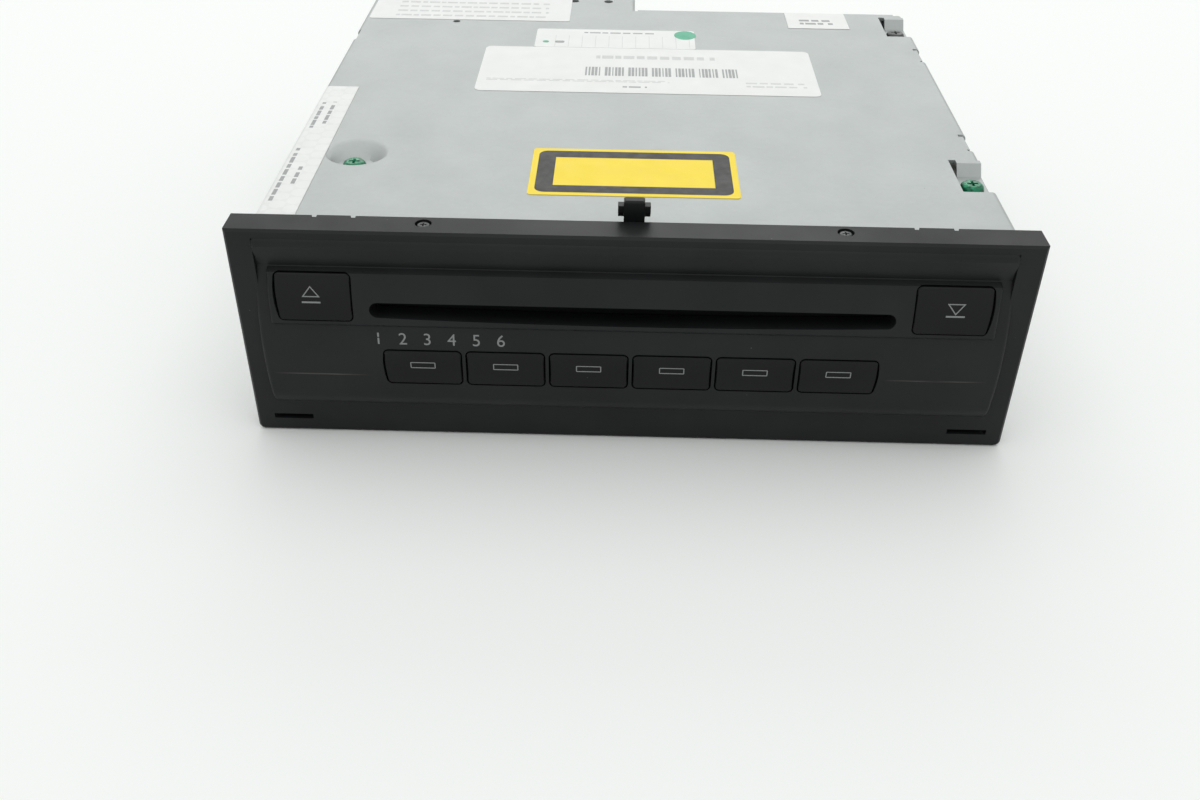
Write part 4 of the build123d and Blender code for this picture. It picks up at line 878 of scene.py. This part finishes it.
class CHANGER_OT_screws(Operator):
    """Model the cross-head screws of the lid and of the front's rim"""
    bl_idname = "changer.screws"
    bl_label = "Screws"

    def execute(self, context):
        look = context.scene.changer_finish
        paint = screw_paint("screw paint", tuple(look.mark_colour))
        # Near-black heads for the plain lid screw and the rim screws. The plain lid screw sits in a
        # shaded corner at the lid's rear, and its head is made as dark as it looks there.
        dark = plain_metal("dark screw steel", (0.06, 0.062, 0.062), 0.34, metallic=0.7)
        lid_r, lid_h = 3.1 * mm, 1.55 * mm
        rim_r, rim_h = 1.8 * mm, 0.9 * mm
        low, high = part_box("cover_screws_marked")
        places = ((low.x + lid_r, high.y - lid_r), (high.x - lid_r, low.y + lid_r))
        self.screws("cover_screws_marked", places, lid_r, high.z, lid_h, paint)
        low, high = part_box("cover_screw_plain")
        places = (((low.x + high.x) / 2, (low.y + high.y) / 2),)
        self.screws("cover_screw_plain", places, lid_r, high.z, lid_h, dark)
        low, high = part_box("fascia_screws")
        places = [(x, (low.y + high.y) / 2) for x in (low.x + rim_r, high.x - rim_r)]
        self.screws("fascia_screws", places, rim_r, high.z, rim_h, dark)
        return {"FINISHED"}

    def screws(self, name, places, radius, top, height, material):
        """Screw heads of one radius at places, in the stead of a CAD node."""
        shape = bmesh.new()
        for x, y in places:
            cross_screw(shape, (x, y, top - height), head_r=radius, top_r=0.62 * radius, height=height,
                        arm=0.45 * radius, slot=0.11 * radius, depth=0.65 * height)
        piece = new_piece(name + "_heads", shape, material, body_of(name), radians(35))
        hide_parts(name)


# ---------------------------------------------------------------- operators: stage
class CHANGER_OT_stage(Operator):
    """Set up the pale floor, the soft light and the camera"""
    bl_idname = "changer.stage"
    bl_label = "Stage"

    def execute(self, context):
        scene = context.scene
        stage = scene.changer_stage
        shape = bmesh.new()
        bmesh.ops.create_circle(shape, cap_ends=True, radius=6.0, segments=96)
        mesh = bpy.data.meshes.new("floor")
        shape.to_mesh(mesh)
        shape.free()
        floor = bpy.data.objects.new("floor", mesh)
        scene.collection.objects.link(floor)
        material, tree, shader = finish("floor", Specular_IOR_Level=0.1, Roughness=0.9)
        tone = blend_colour(tree, noise(tree, 0.5, 2), shade(stage.floor_colour, 0.99),
                            tuple(stage.floor_colour))
        tree.links.new(tone, shader.inputs["Base Color"])
        mesh.materials.append(material)

        self.lamp("overhead lamp", (4.0, 4.0), stage.lamp_power, spot=(0, 0.2, 2.6), lean=0)
        self.lamp("window lamp", (2.4, 1.0), stage.window_power, spot=(0, 2.3, 1.25), lean=radians(-62))
        self.sky(scene, stage)

        camera = bpy.data.cameras.new("camera")
        camera.sensor_width = 36
        camera.sensor_fit = "HORIZONTAL"
        camera.lens = stage.focal_length
        camera.clip_start = 0.01
        view = bpy.data.objects.new("camera", camera)
        turn = (Matrix.Rotation(-stage.camera_yaw, 4, "Z")
                @ Matrix.Rotation(pi / 2 - stage.camera_pitch, 4, "X")
                @ Matrix.Rotation(stage.camera_roll, 4, "Z"))
        view.matrix_world = Matrix.Translation(stage.camera_place) @ turn
        scene.collection.objects.link(view)
        scene.camera = view
        scene.view_settings.view_transform = "Standard"
        return {"FINISHED"}

    def lamp(self, name, size, power, spot, lean):
        """A rectangular lamp that looks down and leans towards the changer."""
        light = bpy.data.lights.new(name, "AREA")
        light.shape = "RECTANGLE"
        light.size, light.size_y = size
        light.energy = power
        holder = bpy.data.objects.new(name, light)
        holder.matrix_world = Matrix.Translation(spot) @ Matrix.Rotation(lean, 4, "X")
        bpy.context.scene.collection.objects.link(holder)

    def sky(self, scene, stage):
        """Even light from all round, with a strength of its own where it is seen or mirrored."""
        world = scene.world or bpy.data.worlds.new("studio")
        scene.world = world
        world.use_nodes = True
        tree = world.node_tree
        tree.nodes.clear()
        path = node(tree, "LightPath")
        mirrored = maths(tree, "MAXIMUM", path.outputs["Is Glossy Ray"],
                         path.outputs["Is Transmission Ray"])
        shown = maths(tree, "MAXIMUM", path.outputs["Is Camera Ray"], mirrored)
        strength = remap(tree, shown, 0, 1, stage.world_strength, stage.backdrop_strength)
        light = node(tree, "Background", {"Color": (0.985, 1.0, 0.99, 1), "Strength": strength})
        node(tree, "OutputWorld", {"Surface": light.outputs[0]})


class CHANGER_PT_sidebar(Panel):
    """Lists the operators and their settings"""
    bl_label = "Changer"
    bl_idname = "CHANGER_PT_sidebar"
    bl_space_type = "VIEW_3D"
    bl_region_type = "UI"
    bl_category = "Changer"

    def draw(self, context):
        for name in settings:
            group = getattr(context.scene, name)
            box = self.layout.box()
            for setting in group.__annotations__:
                box.prop(group, setting)
        for operator in operators:
            self.layout.operator(operator.bl_idname)


operators = (CHANGER_OT_front, CHANGER_OT_case, CHANGER_OT_mechanism, CHANGER_OT_key_prints,
             CHANGER_OT_labels, CHANGER_OT_screws, CHANGER_OT_stage)
settings = {"changer_finish": FinishSettings, "changer_label": LabelSettings,
            "changer_stage": StageSettings}


def register():
    for item in (*settings.values(), *operators, CHANGER_PT_sidebar):
        bpy.utils.register_class(item)
    for name, group in settings.items():
        setattr(bpy.types.Scene, name, PointerProperty(type=group))


def unregister():
    for name in settings:
        delattr(bpy.types.Scene, name)
    for item in reversed((*settings.values(), *operators, CHANGER_PT_sidebar)):
        bpy.utils.unregister_class(item)


def main():
    """Finish the changer piece by piece."""
    register()
    for operator in operators:
        group, name = operator.bl_idname.split(".")
        getattr(getattr(bpy.ops, group), name)()


if __name__ == "__main__":
    main()
